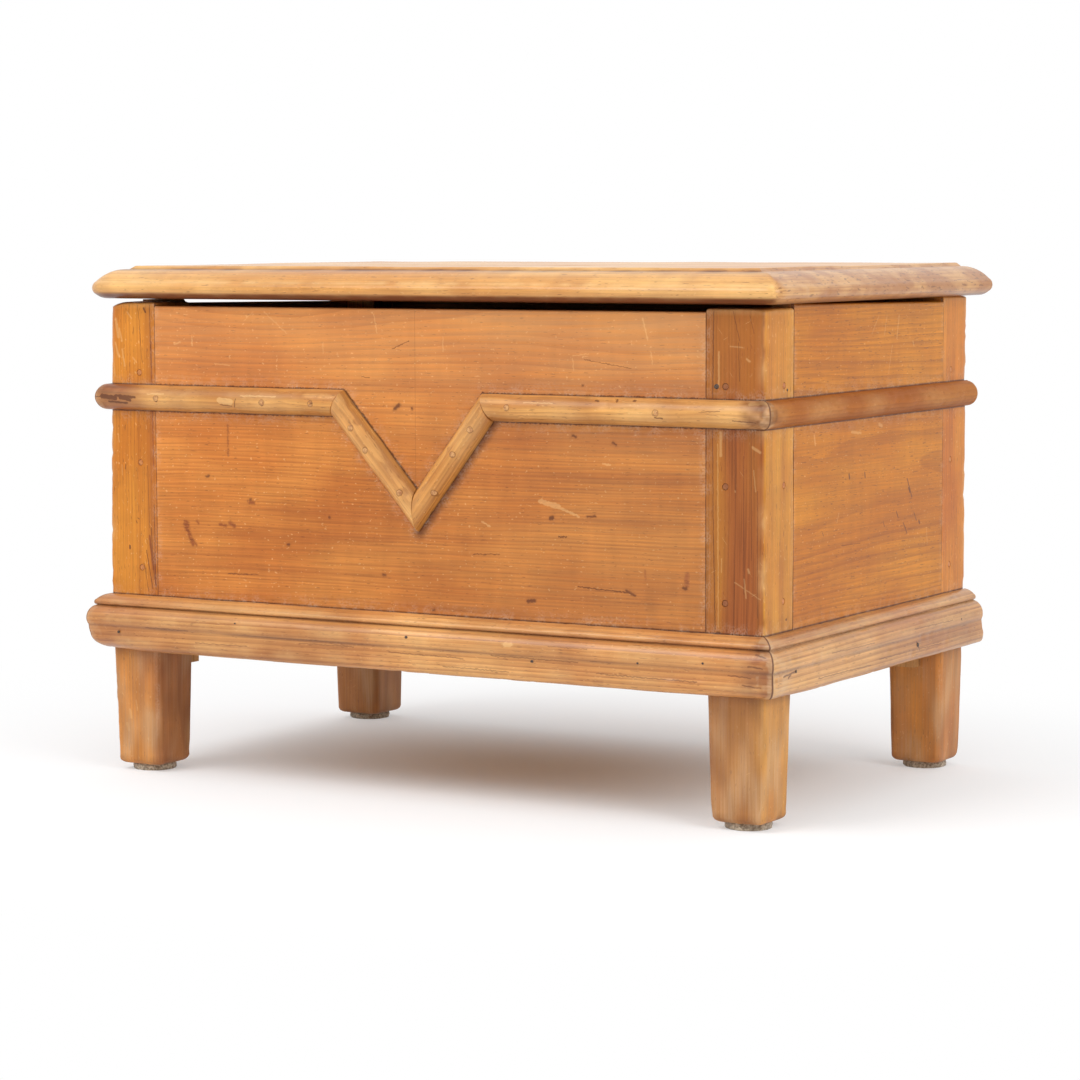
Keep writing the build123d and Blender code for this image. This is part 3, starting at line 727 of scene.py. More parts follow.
def lid_pine():
    """The lid's pine, whose ends are tan and speckled where the grain is cut across."""
    material = pine("lid")
    tree = material.node_tree
    shader = tree.nodes["Principled BSDF"]
    shader.inputs["Coat Roughness"].default_value = 0.22
    grain = attribute(tree, "grain", "Vector")
    plain = Value(tree, shader.inputs["Base Color"].links[0].from_socket)
    lines = step(noise(grain, (120, 520, 9), 2, 8.0), 0.42, 0.68)
    pores = step(noise(grain, (400, 420, 120), 1, 10.0), 0.6, 0.72)
    patch = step(noise(grain, (20, 70, 30), 2, 12.0), 0.35, 0.65)
    tone = blend(patch, srgb(208, 156, 98), srgb(176, 120, 70))
    tone = blend(lines * 0.5, tone, srgb(160, 100, 54))
    tone = blend(pores * 0.55, tone, srgb(98, 60, 36))
    plug(tree, shader.inputs["Base Color"], blend(attribute(tree, "end"), plain, tone))
    return material


def grain_along(axis, pith, tilt=0.0):
    """Grain coordinates for a CAD node: the axis along the grain, and the pith's place on the others."""
    order = {"x": (0, 1, 2), "y": (1, 0, 2), "z": (2, 0, 1)}[axis]

    def coordinates(tree):
        split = parts_of(place_on(tree).vector("SUBTRACT", pith))
        along, second, third = (split[i] for i in order)
        return joined(along, second, third + along * tilt)
    return coordinates


# ---------------------------------------------------------------- other materials

def old_iron():
    """Dark hammered iron with rust in its hollows."""
    material, tree, shader = new_material("old_iron")
    place = place_on(tree)
    rust = step(noise(place, 160, 3, 2.0), 0.46, 0.66)
    pits = noise(place, 900, 2, 5.0)
    colour = blend(noise(place, 60, 2, 7.0), srgb(78, 72, 68), srgb(112, 104, 98))
    colour = blend(rust * 0.8, colour, blend(pits, srgb(110, 62, 34), srgb(76, 48, 36)))
    finish_surface(tree, shader, colour, rust * 0.3 + pits * 0.1 + 0.42, pits - rust * 0.4, 0.12 * MM)
    shader.inputs["Metallic"].default_value = 0.75
    return material


def dark_nail():
    """A nail's head, black with old polish and bright where it is rubbed."""
    material, tree, shader = new_material("nail_head")
    place = place_on(tree)
    spot = noise(place, 900, 2, 3.0)
    colour = blend(step(spot, 0.4, 0.65), srgb(46, 34, 28), srgb(98, 74, 56))
    finish_surface(tree, shader, colour, spot * 0.2 + 0.45, spot, 0.1 * MM)
    return material


def oak_end(name, pale, dark):
    """Whittled pegs and plugs, whose ends show pores and a dark rim."""
    material, tree, shader = new_material(name)
    place = place_on(tree)
    pores = step(noise(place, 1500, 1, 3.0), 0.5, 0.68)
    stain = noise(place, 260, 2, 6.0)
    colour = blend(step(stain, 0.35, 0.65), pale, dark)
    colour = blend(pores * 0.4, colour, UMBER)
    colour = blend(attribute(tree, "red") * 0.7, colour, srgb(112, 58, 28))
    finish_surface(tree, shader, colour, stain * 0.15 + 0.4, stain - pores * 0.5, 0.08 * MM)
    return material


def grey_felt():
    """Pressed wool felt with tufts, dust and short fibres."""
    material, tree, shader = new_material("grey_felt")
    place = place_on(tree)
    tuft = noise(place, 420, 3, 1.0)
    hair = noise(wobbled(place, 500, 3 * MM), (300, 2200, 2200), 2, 4.0)
    dust = step(noise(place, (150, 150, 400), 2, 9.0), 0.42, 0.66)
    colour = blend(step(tuft, 0.32, 0.68), srgb(136, 116, 94), srgb(206, 188, 164))
    colour = blend(step(hair, 0.55, 0.7) * 0.5, colour, srgb(226, 212, 190))
    colour = blend(dust * 0.4, colour, srgb(112, 94, 76))
    finish_surface(tree, shader, colour, tuft * 0.05 + 0.92, tuft + hair * 0.8, 0.5 * MM)
    shader.inputs["Sheen Weight"].default_value = 0.35
    shader.inputs["Sheen Roughness"].default_value = 0.6
    shader.inputs["Specular IOR Level"].default_value = 0.15
    return material


# ---------------------------------------------------------------- mesh tools

def ripple(points, wavelength, seed, waves=14):
    """Smooth noise, mostly within -1 and 1, whose bumps are about a wavelength across."""
    rng = np.random.default_rng(seed)
    total = np.zeros(points.shape[:-1])
    for _ in range(waves):
        way = rng.normal(size=3)
        way *= 2 * math.pi / wavelength * rng.uniform(0.5, 1.3) / np.linalg.norm(way)
        total += np.cos(points @ way + rng.uniform(0, 2 * math.pi))
    return total / math.sqrt(waves)


def hollow(points, wavelength, seed):
    """The same noise as a depth from 0 to 1."""
    return 0.5 + 0.5 * np.clip(ripple(points, wavelength, seed), -1, 1)


def bruises(points, wavelength, seed, sparse=0.8):
    """Scattered dents, 0 nearly everywhere."""
    return np.clip(ripple(points, wavelength, seed) - sparse, 0, 1)


def bell(distance, width):
    """1 at no distance, falling off smoothly within about a width."""
    return np.exp(-(distance / width) ** 2)


def ramp(value, start, run):
    """0 up to the start and 1 once a run past it. It falls instead where the run is negative."""
    return np.clip((value - start) / run, 0, 1)


def arc(start, end, bulge, count):
    """Points on a circular arc from start up to, not including, end. Bulge is to the right."""
    start, end = np.array(start), np.array(end)
    chord = end - start
    length = np.linalg.norm(chord)
    side = np.array((chord[1], -chord[0])) / length
    radius = (length ** 2 / 4 + bulge ** 2) / (2 * bulge)
    centre = (start + end) / 2 + side * (bulge - radius)
    first = math.atan2(*(start - centre)[::-1])
    last = math.atan2(*(end - centre)[::-1])
    turn = (last - first + math.pi) % (2 * math.pi) - math.pi
    angles = first + turn * np.arange(count) / count
    return [tuple(centre + radius * np.array((math.cos(a), math.sin(a)))) for a in angles]


def straight(start, end, count):
    """Points from start up to, not including, end."""
    start, end = np.array(start), np.array(end)
    return [tuple(start + (end - start) * i / count) for i in range(count)]


def softened(outline, radius, angle=22):
    """A closed outline with its sharp corners rounded off a little."""
    points = [np.array(p) for p in outline]
    result = []
    for index, here in enumerate(points):
        into = here - points[index - 1]
        away = points[(index + 1) % len(points)] - here
        turn = abs(math.degrees(math.atan2(into[0] * away[1] - into[1] * away[0], into @ away)))
        if turn < angle:
            result.append(tuple(here))
            continue
        cut = min(radius, 0.45 * np.linalg.norm(into), 0.45 * np.linalg.norm(away))
        first = here - into / np.linalg.norm(into) * cut
        last = here + away / np.linalg.norm(away) * cut
        result += [tuple(first), tuple((first + 2 * here + last) / 4), tuple(last)]
    return result


def outward(outline):
    """Unit normals of a closed outline that runs anticlockwise."""
    run = np.roll(outline, -1, axis=0) - np.roll(outline, 1, axis=0)
    normal = np.stack((run[:, 1], -run[:, 0]), axis=1)
    return normal / np.maximum(np.linalg.norm(normal, axis=1, keepdims=True), 1e-9)


def tidy_normals(piece, angle=38):
    """Faces outward, shaded smooth except over sharp edges."""
    shape = bmesh.new()
    shape.from_mesh(piece.data)
    bmesh.ops.remove_doubles(shape, verts=shape.verts, dist=1e-6)
    bmesh.ops.recalc_face_normals(shape, faces=shape.faces)
    for face in shape.faces:
        face.smooth = True
    for edge in shape.edges:
        edge.smooth = len(edge.link_faces) == 2 and edge.calc_face_angle(0) < math.radians(angle)
    shape.to_mesh(piece.data)
    shape.free()


def new_object(name, data):
    """An object in the scene."""
    piece = bpy.data.objects.new(name, data)
    bpy.context.scene.collection.objects.link(piece)
    return piece


def new_piece(name, points, faces, angle=38):
    """A piece from its points and faces, shaded sharp over edges beyond an angle."""
    mesh = bpy.data.meshes.new(name)
    mesh.from_pydata([tuple(p) for p in points], [], faces)
    piece = new_object(name, mesh)
    tidy_normals(piece, angle)
    return piece


def grid_mesh(name, rings, angle=38):
    """A closed shape from loops of points, with a face over the first loop and the last."""
    rows, columns = rings.shape[:2]
    faces = []
    for i in range(rows - 1):
        for j in range(columns):
            k = (j + 1) % columns
            faces.append((i * columns + j, i * columns + k, (i + 1) * columns + k, (i + 1) * columns + j))
    faces.append(tuple(range(columns)))
    faces.append(tuple((rows - 1) * columns + j for j in range(columns)))
    return new_piece(name, rings.reshape(-1, 3), faces, angle)


def points_of(piece):
    """A piece's vertices, a row for each."""
    co = np.zeros(len(piece.data.vertices) * 3)
    piece.data.vertices.foreach_get("co", co)
    return co.reshape(-1, 3)


def give(piece, **values):
    """Stores a number for each vertex under each name, for the materials."""
    for name, numbers in values.items():
        layer = piece.data.attributes.new(name, "FLOAT", "POINT")
        layer.data.foreach_set("value", np.clip(np.asarray(numbers, np.float32), -1, 1))


def give_grain(piece, along, pith):
    """Grain coordinates: along the grain, then two across it, measured from the pith."""
    along = np.array(along, float) / np.linalg.norm(along)
    helper = np.array((0.0, 1.0, 0.0)) if abs(along[1]) < 0.9 else np.array((1.0, 0.0, 0.0))
    second = np.cross(along, helper)
    second /= np.linalg.norm(second)
    third = np.cross(along, second)
    away = points_of(piece) - np.array(pith)
    grain = np.stack((away @ along, away @ second, away @ third), axis=1)
    layer = piece.data.attributes.new("grain", "FLOAT_VECTOR", "POINT")
    layer.data.foreach_set("vector", grain.astype(np.float32).ravel())


def carve(piece, cutters, angle=38):
    """Cuts the cutters' shapes out of a piece, and removes them."""
    for cutter in cutters:
        change = piece.modifiers.new("cut", "BOOLEAN")
        change.operation = "DIFFERENCE"
        change.solver = "EXACT"
        change.object = cutter
    bpy.context.view_layer.update()
    solved = piece.evaluated_get(bpy.context.evaluated_depsgraph_get())
    mesh = bpy.data.meshes.new_from_object(solved)
    piece.modifiers.clear()
    piece.data = mesh
    for cutter in cutters:
        bpy.data.objects.remove(cutter)
    tidy_normals(piece, angle)


def block(low, high):
    """A plain box to cut with."""
    x, y, z = zip(low, high)
    points = [(a, b, c) for a in x for b in y for c in z]
    faces = [(0, 1, 3, 2), (4, 6, 7, 5), (0, 4, 5, 1), (2, 3, 7, 6), (0, 2, 6, 4), (1, 5, 7, 3)]
    return new_piece("cutter", points, faces)


def facing(start, toward):
    """A matrix that puts a turned shape's Z axis along a direction."""
    turn = Vector(toward).to_track_quat("Z", "Y").to_matrix().to_4x4()
    return Matrix.Translation(Vector(start)) @ turn


def turned_piece(name, profile, segments, place, squash=None):
    """A turned shape: a profile of (radius, height) about the local Z axis, put in place by a matrix."""
    angles = np.arange(segments) * 2 * math.pi / segments
    rings = np.array([[(radius * math.cos(a), radius * math.sin(a), height) for a in angles]
                      for radius, height in profile])
    if squash is not None:
        rings = squash(rings)
    matrix = np.array(place)
    return grid_mesh(name, rings @ matrix[:3, :3].T + matrix[:3, 3])


def resized(rings, across, deep):
    """A turned shape's rings, wider and deeper by these shares."""
    return rings * np.stack((across, deep, np.ones_like(across)), axis=-1)


def rod(radius, start, end, segments=32):
    """A plain cylinder to cut with."""
    toward = Vector(end) - Vector(start)
    return turned_piece("cutter", [(radius, 0), (radius, toward.length)], segments, facing(start, toward))


def merged(name, shapes):
    """One piece from several shapes."""
    whole = bmesh.new()
    for shape in shapes:
        whole.from_mesh(shape.data)
        bpy.data.objects.remove(shape)
    mesh = bpy.data.meshes.new(name)
    whole.to_mesh(mesh)
    whole.free()
    return new_object(name, mesh)


def dress(piece, body, material, slot, *nodes):
    """Gives a piece its material and body, and hides the CAD nodes it stands for. The slot is not used."""
    piece.data.materials.clear()
    piece.data.materials.append(material)
    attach(piece, body)
    if nodes:
        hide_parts(*nodes)
    return piece


def paint(material, *nodes, bevel=0.6 * MM):
    """Gives CAD nodes a material and softens their edges."""
    for node in nodes:
        piece = NODES[node]
        for slot in piece.material_slots:
            slot.material = material
        if not piece.material_slots:
            piece.data.materials.append(material)
        change = piece.modifiers.new("eased edges", "BEVEL")
        change.width = bevel
        change.segments = 2
        change.limit_method = "ANGLE"
        change.angle_limit = math.radians(40)
        change.harden_normals = True


class Bench:
    """A place on the chest with its own directions: along the work, out of its face, and up."""

    def __init__(self, origin, along, out, up=(0, 0, 1)):
        self.origin = np.array(origin, float)
        self.turn = np.array((along, out, up), float)

    def world(self, local):
        return self.origin + np.asarray(local) @ self.turn

    def local(self, points):
        return (points - self.origin) @ self.turn.T


FRONT = Bench((0, case_front, 0), (1, 0, 0), (0, -1, 0))
RIGHT = Bench((half_width, 0, 0), (0, 1, 0), (1, 0, 0))
LEFT = Bench((-half_width, 0, 0), (0, 1, 0), (-1, 0, 0))
FLANKS = {-1: LEFT, 1: RIGHT}

# Nails in the near post, as (bench, along, up, radius, lift, seed)
POST_NAILS = ((FRONT, 308.7, 389.8, 2.4, 0.35, 7), (RIGHT, -172.4, 386, 1.3, 0.2, 8))

# Where a moulding begins and stops along the front and along a side, at points this far out
FRONT_ENDS = (lambda out, up: -half_width - out, lambda out, up: half_width + out)
SIDE_ENDS = (lambda out, up: case_front - out, lambda out, up: case_back + 0 * out)


def wear_corners(points, corner_x, corner_y, worn):
    """Rounds the front corners of a moulding in plan, each with its own radius."""
    side = np.sign(points[..., 0])
    radius = np.where(side < 0, worn[-1], worn[1])
    centre_x = corner_x - radius
    centre_y = corner_y + radius
    over_x = np.abs(points[..., 0]) - centre_x
    over_y = centre_y - points[..., 1]
    inside = (over_x > 0) & (over_y > 0)
    reach = np.hypot(over_x, over_y)
    scale = np.where(inside, np.maximum(over_x, over_y) / np.maximum(reach, 1e-9), 1.0)
    x = np.where(inside, side * (centre_x + over_x * scale), points[..., 0])
    y = np.where(inside, centre_y - over_y * scale, points[..., 1])
    return np.stack((x, y, points[..., 2]), axis=-1)


def bar(bench, outline, start, end, depth, spacing=4 * MM):
    """Rings of a moulded length of wood. The outline is (out, up), start and end give where each of
    its points begins and stops along the bench, and depth gives how far a point is worn down."""
    section = np.array(outline)
    out, up = section[:, 0], section[:, 1]
    first = start(out, up)
    last = end(out, up)
    count = max(4, round(float(np.mean(last - first)) / spacing))
    shares = np.concatenate(([0], np.linspace(0, 1, count), [1]))
    normal = outward(section)
    shift = np.zeros(len(shares))
    shift[[0, 1, -2, -1]] = mitre_gap, mitre_ease, -mitre_ease, -mitre_gap
    rings = np.zeros((len(shares), len(section), 3))
    rings[..., 0] = first + (last - first) * shares[:, None] + shift[:, None]
    rings[..., 1] = out
    rings[..., 2] = up
    points = bench.world(rings)
    worn = depth(points)
    worn[[0, -1]] += mitre_round
    rings[..., 1] = np.maximum(out - normal[:, 0] * worn, 0)
    rings[..., 2] -= normal[:, 1] * worn
    return bench.world(rings)


# ---------------------------------------------------------------- posts, legs and pegs

def post_loop(half, outer_radius, other_radius, side, row, per_side=9, per_corner=6):
    """A square with rounded corners about its middle, the outer corner with a radius of its own."""
    corners = ((1, 1), (-1, 1), (-1, -1), (1, -1))
    loop = []
    for turn, (sx, sy) in enumerate(corners):
        radius = outer_radius if (sx, sy) == (side, row) else other_radius
        centre = np.array((sx, sy)) * (half - radius)
        for index in range(per_corner + 1):
            angle = math.pi / 2 * (turn + index / per_corner)
            loop.append(centre + radius * np.array((math.cos(angle), math.sin(angle))))
        following = corners[(turn + 1) % 4]
        radius = outer_radius if following == (side, row) else other_radius
        angle = math.pi / 2 * (turn + 1)
        goal = np.array(following) * (half - radius) + radius * np.array((math.cos(angle), math.sin(angle)))
        loop += straight(loop[-1], goal, per_side)[1:]
    return np.array(loop)


def post_levels(top, side, row):
    """A post's rings from the foot up: height, half width, outer corner's radius and the others'."""
    rings = []
    slope = (post_size - foot_size) / 2 / (base_z - foot_z)
    for share in np.linspace(0, 1, 6)[:-1]:
        angle = math.pi / 2 * share
        half = foot_size / 2 - foot_bevel * (1 - math.sin(angle))
        rings.append((foot_z + foot_bevel * (1 - math.cos(angle)), half, leg_arris, leg_arris))
    for height in np.arange(foot_z + foot_bevel, base_z - 1.5 * MM, 5 * MM):
        rings.append((height, foot_size / 2 + slope * (height - foot_z), leg_arris, leg_arris))
    rings.append((base_z - 0.5 * MM, post_size / 2, leg_arris, leg_arris))
    rings.append((base_z + 0.5 * MM, post_size / 2, post_arris, joint_arris))
    for height in np.arange(base_z + 5 * MM, top - post_top_round - 1 * MM, 5 * MM):
        rings.append((height, post_size / 2, worn_arris(height, top, side, row), joint_arris))
    for share in np.linspace(0, 1, 5):
        angle = math.pi / 2 * share
        inset = post_top_round * (1 - math.cos(angle))
        height = top - post_top_round * (1 - math.sin(angle))
        outer_radius = worn_arris(height, top, side, row)
        rings.append((height, post_size / 2 - inset, outer_radius, joint_arris + inset * 0.6))
    return rings


def worn_arris(height, top, side, row):
    """Radius of a post's outer arris, which the front posts have worn away towards the top."""
    if row > 0:
        return post_arris
    share = max(0.0, (height - base_top) / (top - base_top))
    return post_arris + post_top_worn[side] * share ** 1.5


def make_post(node, side, row, seed):
    """A post with its leg: worn arrises, mortises for the tenons and holes for the pegs."""
    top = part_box(node)[1].z
    corner = np.array((side * half_width, case_edge[row]))
    middle = corner - np.array((side, row)) * post_size / 2
    rings = []
    for height, half, outer_radius, other_radius in post_levels(top, side, row):
        loop = post_loop(half, outer_radius, other_radius, side, row)
        rings.append(np.column_stack((loop + middle, np.full(len(loop), height))))
    points = np.array(rings)
    away = points[..., :2] - middle
    size = np.abs(away).max(axis=-1)
    from_arris = np.linalg.norm(points[..., :2] - corner, axis=-1)
    level = 0.22 * MM * hollow(points, 60 * MM, seed)
    nicks = np.clip(ripple(points * (1, 1, 2), 26 * MM, seed + 1), 0, 1.5) * 0.7 * MM
    nicks += bruises(points * (1, 1, 3), 9 * MM, seed + 2) * 0.6 * MM
    level += nicks * bell(from_arris, 5 * MM)
    foot = ramp(points[..., 2], foot_z + 20 * MM, -20 * MM)
    level += foot * 1.0 * MM * np.clip(ripple(points, 16 * MM, seed + 3), 0, 1)
    points[..., :2] = middle + away * (1 - level / size)[..., None]
    drop = (4 * MM if (side, row) == (-1, -1) else 0.6 * MM) * bell(from_arris, 16 * MM)
    near_top = ramp(points[..., 2], top - 8 * MM, 8 * MM)
    points[..., 2] -= near_top * (drop + 0.4 * MM * hollow(points, 20 * MM, seed + 4))
    piece = grid_mesh("worn_" + node, points)
    carve(piece, post_cutters(side, row))
    tone_post(piece, side, row, corner, top, seed)
    return piece


def tone_post(piece, side, row, corner, top, seed):
    """Pale arrises, dirty feet, painted shade on the legs' inner faces, over all of the back left leg and
    just below the base moulding, and the red-brown near post.
    """
    points = points_of(piece)
    x, y, z = points.T
    worn = bell(np.linalg.norm(points[:, :2] - corner, axis=1), 4.5 * MM) * 0.8
    worn = worn * hollow(points, 30 * MM, seed + 5) + ramp(z, top - 6 * MM, 6 * MM) * 0.5
    leg = z < base_z
    foot = ramp(z, foot_z + 9 * MM, -9 * MM)
    # Painted shade on the legs just below the base moulding
    shade_below = ramp(z, base_z - 9 * MM, 9 * MM) * leg
    dirt = foot * 0.5 * hollow(points, 18 * MM, seed + 6) + shade_below * 0.35
    red = np.zeros(len(points))
    tone = np.zeros(len(points))
    if (side, row) == (1, -1):
        face = ramp(x, half_width - 0.6 * MM, -1.2 * MM) * ramp(y, case_front + 6 * MM, -3 * MM)
        above = ramp(z, bead_z, 20 * MM)
        streak = 0.85 + 0.15 * np.clip(ripple(points * (1, 1, 0.15), 22 * MM, seed + 7), -1, 1)
        red = face * np.where(leg, 0.45, (1.05 - 0.2 * above) * streak)
        red *= 1 - 0.3 * bell(x - (joint_x + 13 * MM), 4 * MM) * (1 - above) * ~leg
        tone = np.where(leg, -0.35, -0.05) * face
    if (side, row) == (-1, -1):
        red = 0.45 * bell(x + joint_x + 6 * MM, 6 * MM) * ~leg
    # Painted shade: legs darker and redder on their inner faces, and the back left leg all over
    shade = ramp(half_width - side * x, post_size * 0.75, post_size * 0.15)
    if (side, row) == (-1, 1):
        shade[:] = 1
    red = np.maximum(red, shade * leg * (0.25 if side > 0 else 0.55))
    tone -= shade * leg * (0.15 if side > 0 else 0.45)
    tone -= 0.12 * (row < 0) * ~leg * ramp(z, bead_z, -40 * MM)
    dirt += leg * 0.28 * hollow(points * (1, 1, 0.3), 13 * MM, seed + 9) * (1 - 0.6 * foot)
    dry = leg * (0.25 + 0.5 * hollow(points * (1, 1, 0.35), 24 * MM, seed + 8) ** 2)
    give(piece, worn=worn, dirt=dirt, red=red, tone=tone, dry=dry)


def from_corner(side, row, xs, ys, z0, z1):
    """A box measured inward from a post's outer corner."""
    x0, x1 = sorted(side * (half_width - x) for x in xs)
    y0, y1 = sorted(case_edge[row] - row * y for y in ys)
    return (x0, y0, z0), (x1, y1, z1)


def post_cutters(side, row):
    """What is cut from a post: a mortise for each panel, and the peg holes."""
    deep = (post_size - tenon_length, post_size + 5 * MM)
    thick = (tenon_near, tenon_far)
    cutters = [block(*from_corner(side, row, deep, thick, tenon_low, tenon_high)),
               block(*from_corner(side, row, thick, deep, tenon_low, tenon_high))]
    for start, end in peg_lines(side, row, -2 * MM, peg_length + 0.2 * MM):
        cutters.append(rod(peg_radius + 0.1 * MM, start, end, 24))
    return cutters


def peg_lines(side, row, first, last):
    """Axes of a post's pegs, from one depth to another below the faces."""
    x = side * (half_width - peg_inset)
    y = case_edge[row] - row * peg_inset
    lines = []
    for height in peg_heights:
        z = base_z + height
        lines.append(((x, case_edge[row] - row * first, z), (x, case_edge[row] - row * last, z)))
        lines.append(((side * (half_width - first), y, z), (side * (half_width - last), y, z)))
    return lines


def make_pegs(segments=18):
    """All the pegs, whittled not quite round, their ends a little below the faces."""
    rng = np.random.default_rng(5)
    pegs = []
    for side in (-1, 1):
        for row in (-1, 1):
            for start, end in peg_lines(side, row, 0, peg_length):
                facets = rng.uniform(0, 6)
                sunk = rng.uniform(0.05, 0.35) * MM
                profile = [(peg_radius * 0.86, sunk), (peg_radius * 0.98, sunk + 0.4 * MM),
                           (peg_radius * 0.98, peg_length)]

                def squash(rings):
                    turn = np.arctan2(rings[..., 1], rings[..., 0])
                    size = 1 - 0.06 * np.abs(np.sin(4 * turn + facets))
                    return resized(rings, size, size)

                place = facing(start, Vector(end) - Vector(start))
                pegs.append(turned_piece("peg", profile, segments, place, squash))
    piece = merged("whittled_pegs", pegs)
    x, y, _ = points_of(piece).T
    give(piece, red=(x > joint_x) & (y < case_front + 1 * MM))
    return piece


# ---------------------------------------------------------------- left panel

def make_left_panel():
    """The left panel, whose top edge is split off and shrunk towards the back, with its two tenons."""
    panel_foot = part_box("panel_left")[0].z
    outer_x = -half_width
    inner_x = outer_x + panel_high.y - panel_low.y
    outline = [(joint_front, panel_foot), (joint_back, panel_foot), (joint_back, rim_z - left_gap_back),
               (left_split_y, rim_z - left_gap_middle), (left_split_y - 4 * MM, rim_z - left_gap_front),
               (joint_front, rim_z - left_gap_front)]
    rings = np.array([[(x, y, z) for y, z in outline] for x in (outer_x, inner_x)])
    shapes = [grid_mesh("board", rings)]
    slack = 0.2 * MM
    for row, shoulder in ((-1, joint_front), (1, joint_back)):
        y0, y1 = sorted((shoulder, shoulder + row * (tenon_length - 2 * slack)))
        tenon = block((outer_x + tenon_near + slack, y0, tenon_low + slack),
                      (outer_x + tenon_far - slack, y1, tenon_high - slack))
        carve(tenon, [rod(peg_radius, *line, 24) for line in peg_lines(-1, row, -1 * MM, peg_length)[1::2]])
        shapes.append(tenon)
    return merged("shrunk_panel_left", shapes)


# ---------------------------------------------------------------- base moulding

def base_outline():
    """Section of the base moulding from its back, round by its foot and up to its top."""
    high = base_top - base_z
    foot = (base_thickness - base_foot_round, 0)
    toe = (base_thickness, base_foot_round)
    crease = (base_band_top[0] - base_crease, base_band_top[1])
    root = (base_lip[0] - base_quirk_depth, base_lip[1] + base_quirk_width / 2)
    nose_low = (base_lip[0], base_lip[1] + base_quirk_width)
    nose_high = (base_lip[0] - base_crown_set, nose_low[1] + base_nose_height)
    points = straight((0, 0), foot, 3)
    points += arc(foot, toe, base_foot_round * ROUND_SAGITTA, 8)
    points += arc(toe, base_roll_top, base_roll_bulge, 5)
    points += straight(base_roll_top, crease, 4)
    points += arc(crease, base_lip, base_torus_bulge, 18)
    points += [base_lip, root]
    points += arc(nose_low, nose_high, base_nose_height / 4, 7)
    points += arc(nose_high, (0, high), base_crown_bulge, 9)
    points += straight((0, high), (0, 0), 4)
    return [(out, base_z + up) for out, up in softened(points, 0.5 * MM)]


def make_base(node, bench, ends, seed):
    """A length of the base moulding, uneven along its crests and rubbed away at its front corners."""
    def depth(points):
        return 0.45 * MM * hollow(points, 70 * MM, seed) + 0.6 * MM * bruises(points, 14 * MM, seed + 1)

    points = bar(bench, base_outline(), *ends, depth)
    points = wear_corners(points, half_width + base_thickness, case_front - base_thickness, base_worn)
    side = np.sign(points[..., 0])
    corner = np.stack((side * half_width, np.full(side.shape, case_front)), axis=-1)
    beyond = np.maximum(np.linalg.norm(points[..., :2] - corner, axis=-1) - 20 * MM, 0)
    low = ramp(points[..., 2], base_z + 30 * MM, -30 * MM)
    strength = np.where(side < 0, base_underworn[-1], base_underworn[1])
    shrink = strength * (1 - np.sqrt(1 - low ** 2)) * bell(beyond, 26 * MM)
    points[..., :2] = corner + (points[..., :2] - corner) * (1 - shrink)[..., None]
    piece = grid_mesh("worn_" + node, points, 24)
    tone_base(piece, bench, seed)
    return piece


def tone_base(piece, bench, seed):
    """Dark polish in the quirk and the crease, pale crests that are wear and painted highlight, side
    lengths painted darker as shade, and brown round the near mitre.
    """
    points = points_of(piece)
    x, y, _ = points.T
    _, out, up = bench.local(points).T
    up = up - base_z
    quirk = bell(up - base_lip[1] - base_quirk_width / 2, 1.3 * MM) * (out > 5 * MM)
    crease = bell(up - base_band_top[1], 1.1 * MM) * (0.35 + 0.65 * hollow(points, 70 * MM, seed + 7))
    # Pale crests: wear, and painted highlights along the roll, the torus and the nose
    crest = bell(up - 31 * MM, 5 * MM) + bell(up - 9 * MM, 5 * MM) + bell(up - 47 * MM, 3 * MM)
    from_mitre = np.maximum(np.maximum(half_width - np.abs(x), y - case_front), 0)
    near = bell(from_mitre, 14 * MM) * (x > 0)
    patch = hollow(points, 20 * MM, seed + 4)
    front = bench is FRONT
    dirt = quirk * (0.55 if front else 0.3) + crease * 0.8
    dirt += near * patch * (0.3 if front else 0.0)
    wax = quirk * (0.15 if front else 0.9) + crease * (0.1 if front else 0.4)
    worn = crest * 0.45 * hollow(points, 45 * MM, seed + 2)
    dry = near * (0.1 if front else 0.8) * patch
    # Painted shade: the side lengths are darker than the front
    tone = -0.3 * hollow(points, 60 * MM, seed + 5) - (0.0 if front else 0.3)
    red = (0.3 if front else 0.15) * hollow(points, 90 * MM, seed + 6) * bell(up - 18 * MM, 22 * MM)
    red += near * (0.6 if front else 0.1) * hollow(points, 9 * MM, seed + 8)
    red += 0.22 * ramp(x, 60 * MM, -350 * MM)
    give(piece, dirt=dirt, wax=wax, worn=worn, dry=dry, tone=tone, red=red)


def base_surface(height):
    """How far the base moulding stands out at a height."""
    outline = np.array(base_outline())
    outer = outline[outline[:, 0] > 1 * MM]
    order = np.argsort(outer[:, 1])
    return float(np.interp(height, outer[order, 1], outer[order, 0]))


# ---------------------------------------------------------------- bead and vee

def bead_outline(middle, count=24):
    """Half a round about a height, from its lower edge to its upper one, and back."""
    points = []
    for index in range(count + 1):
        angle = math.pi * (index / count - 0.5)
        points.append((bead_radius * max(0.0, math.cos(angle)), middle + bead_radius * math.sin(angle)))
    return points[:-1] + straight(points[-1], points[0], 3)


def bead_depth(seed):
    """A hand-planed bead: long flats, hollows and a few bruises."""
    def depth(points):
        return 0.6 * MM * hollow(points, 42 * MM, seed) + 0.8 * MM * bruises(points, 11 * MM, seed + 1)
    return depth


def crossing(point_a, run_a, point_b, run_b):
    """Where two lines cross in the plane of a face."""
    matrix = np.array((run_a, -np.array(run_b))).T
    share = np.linalg.solve(matrix, np.array(point_b) - np.array(point_a))[0]
    return np.array(point_a) + share * np.array(run_a)


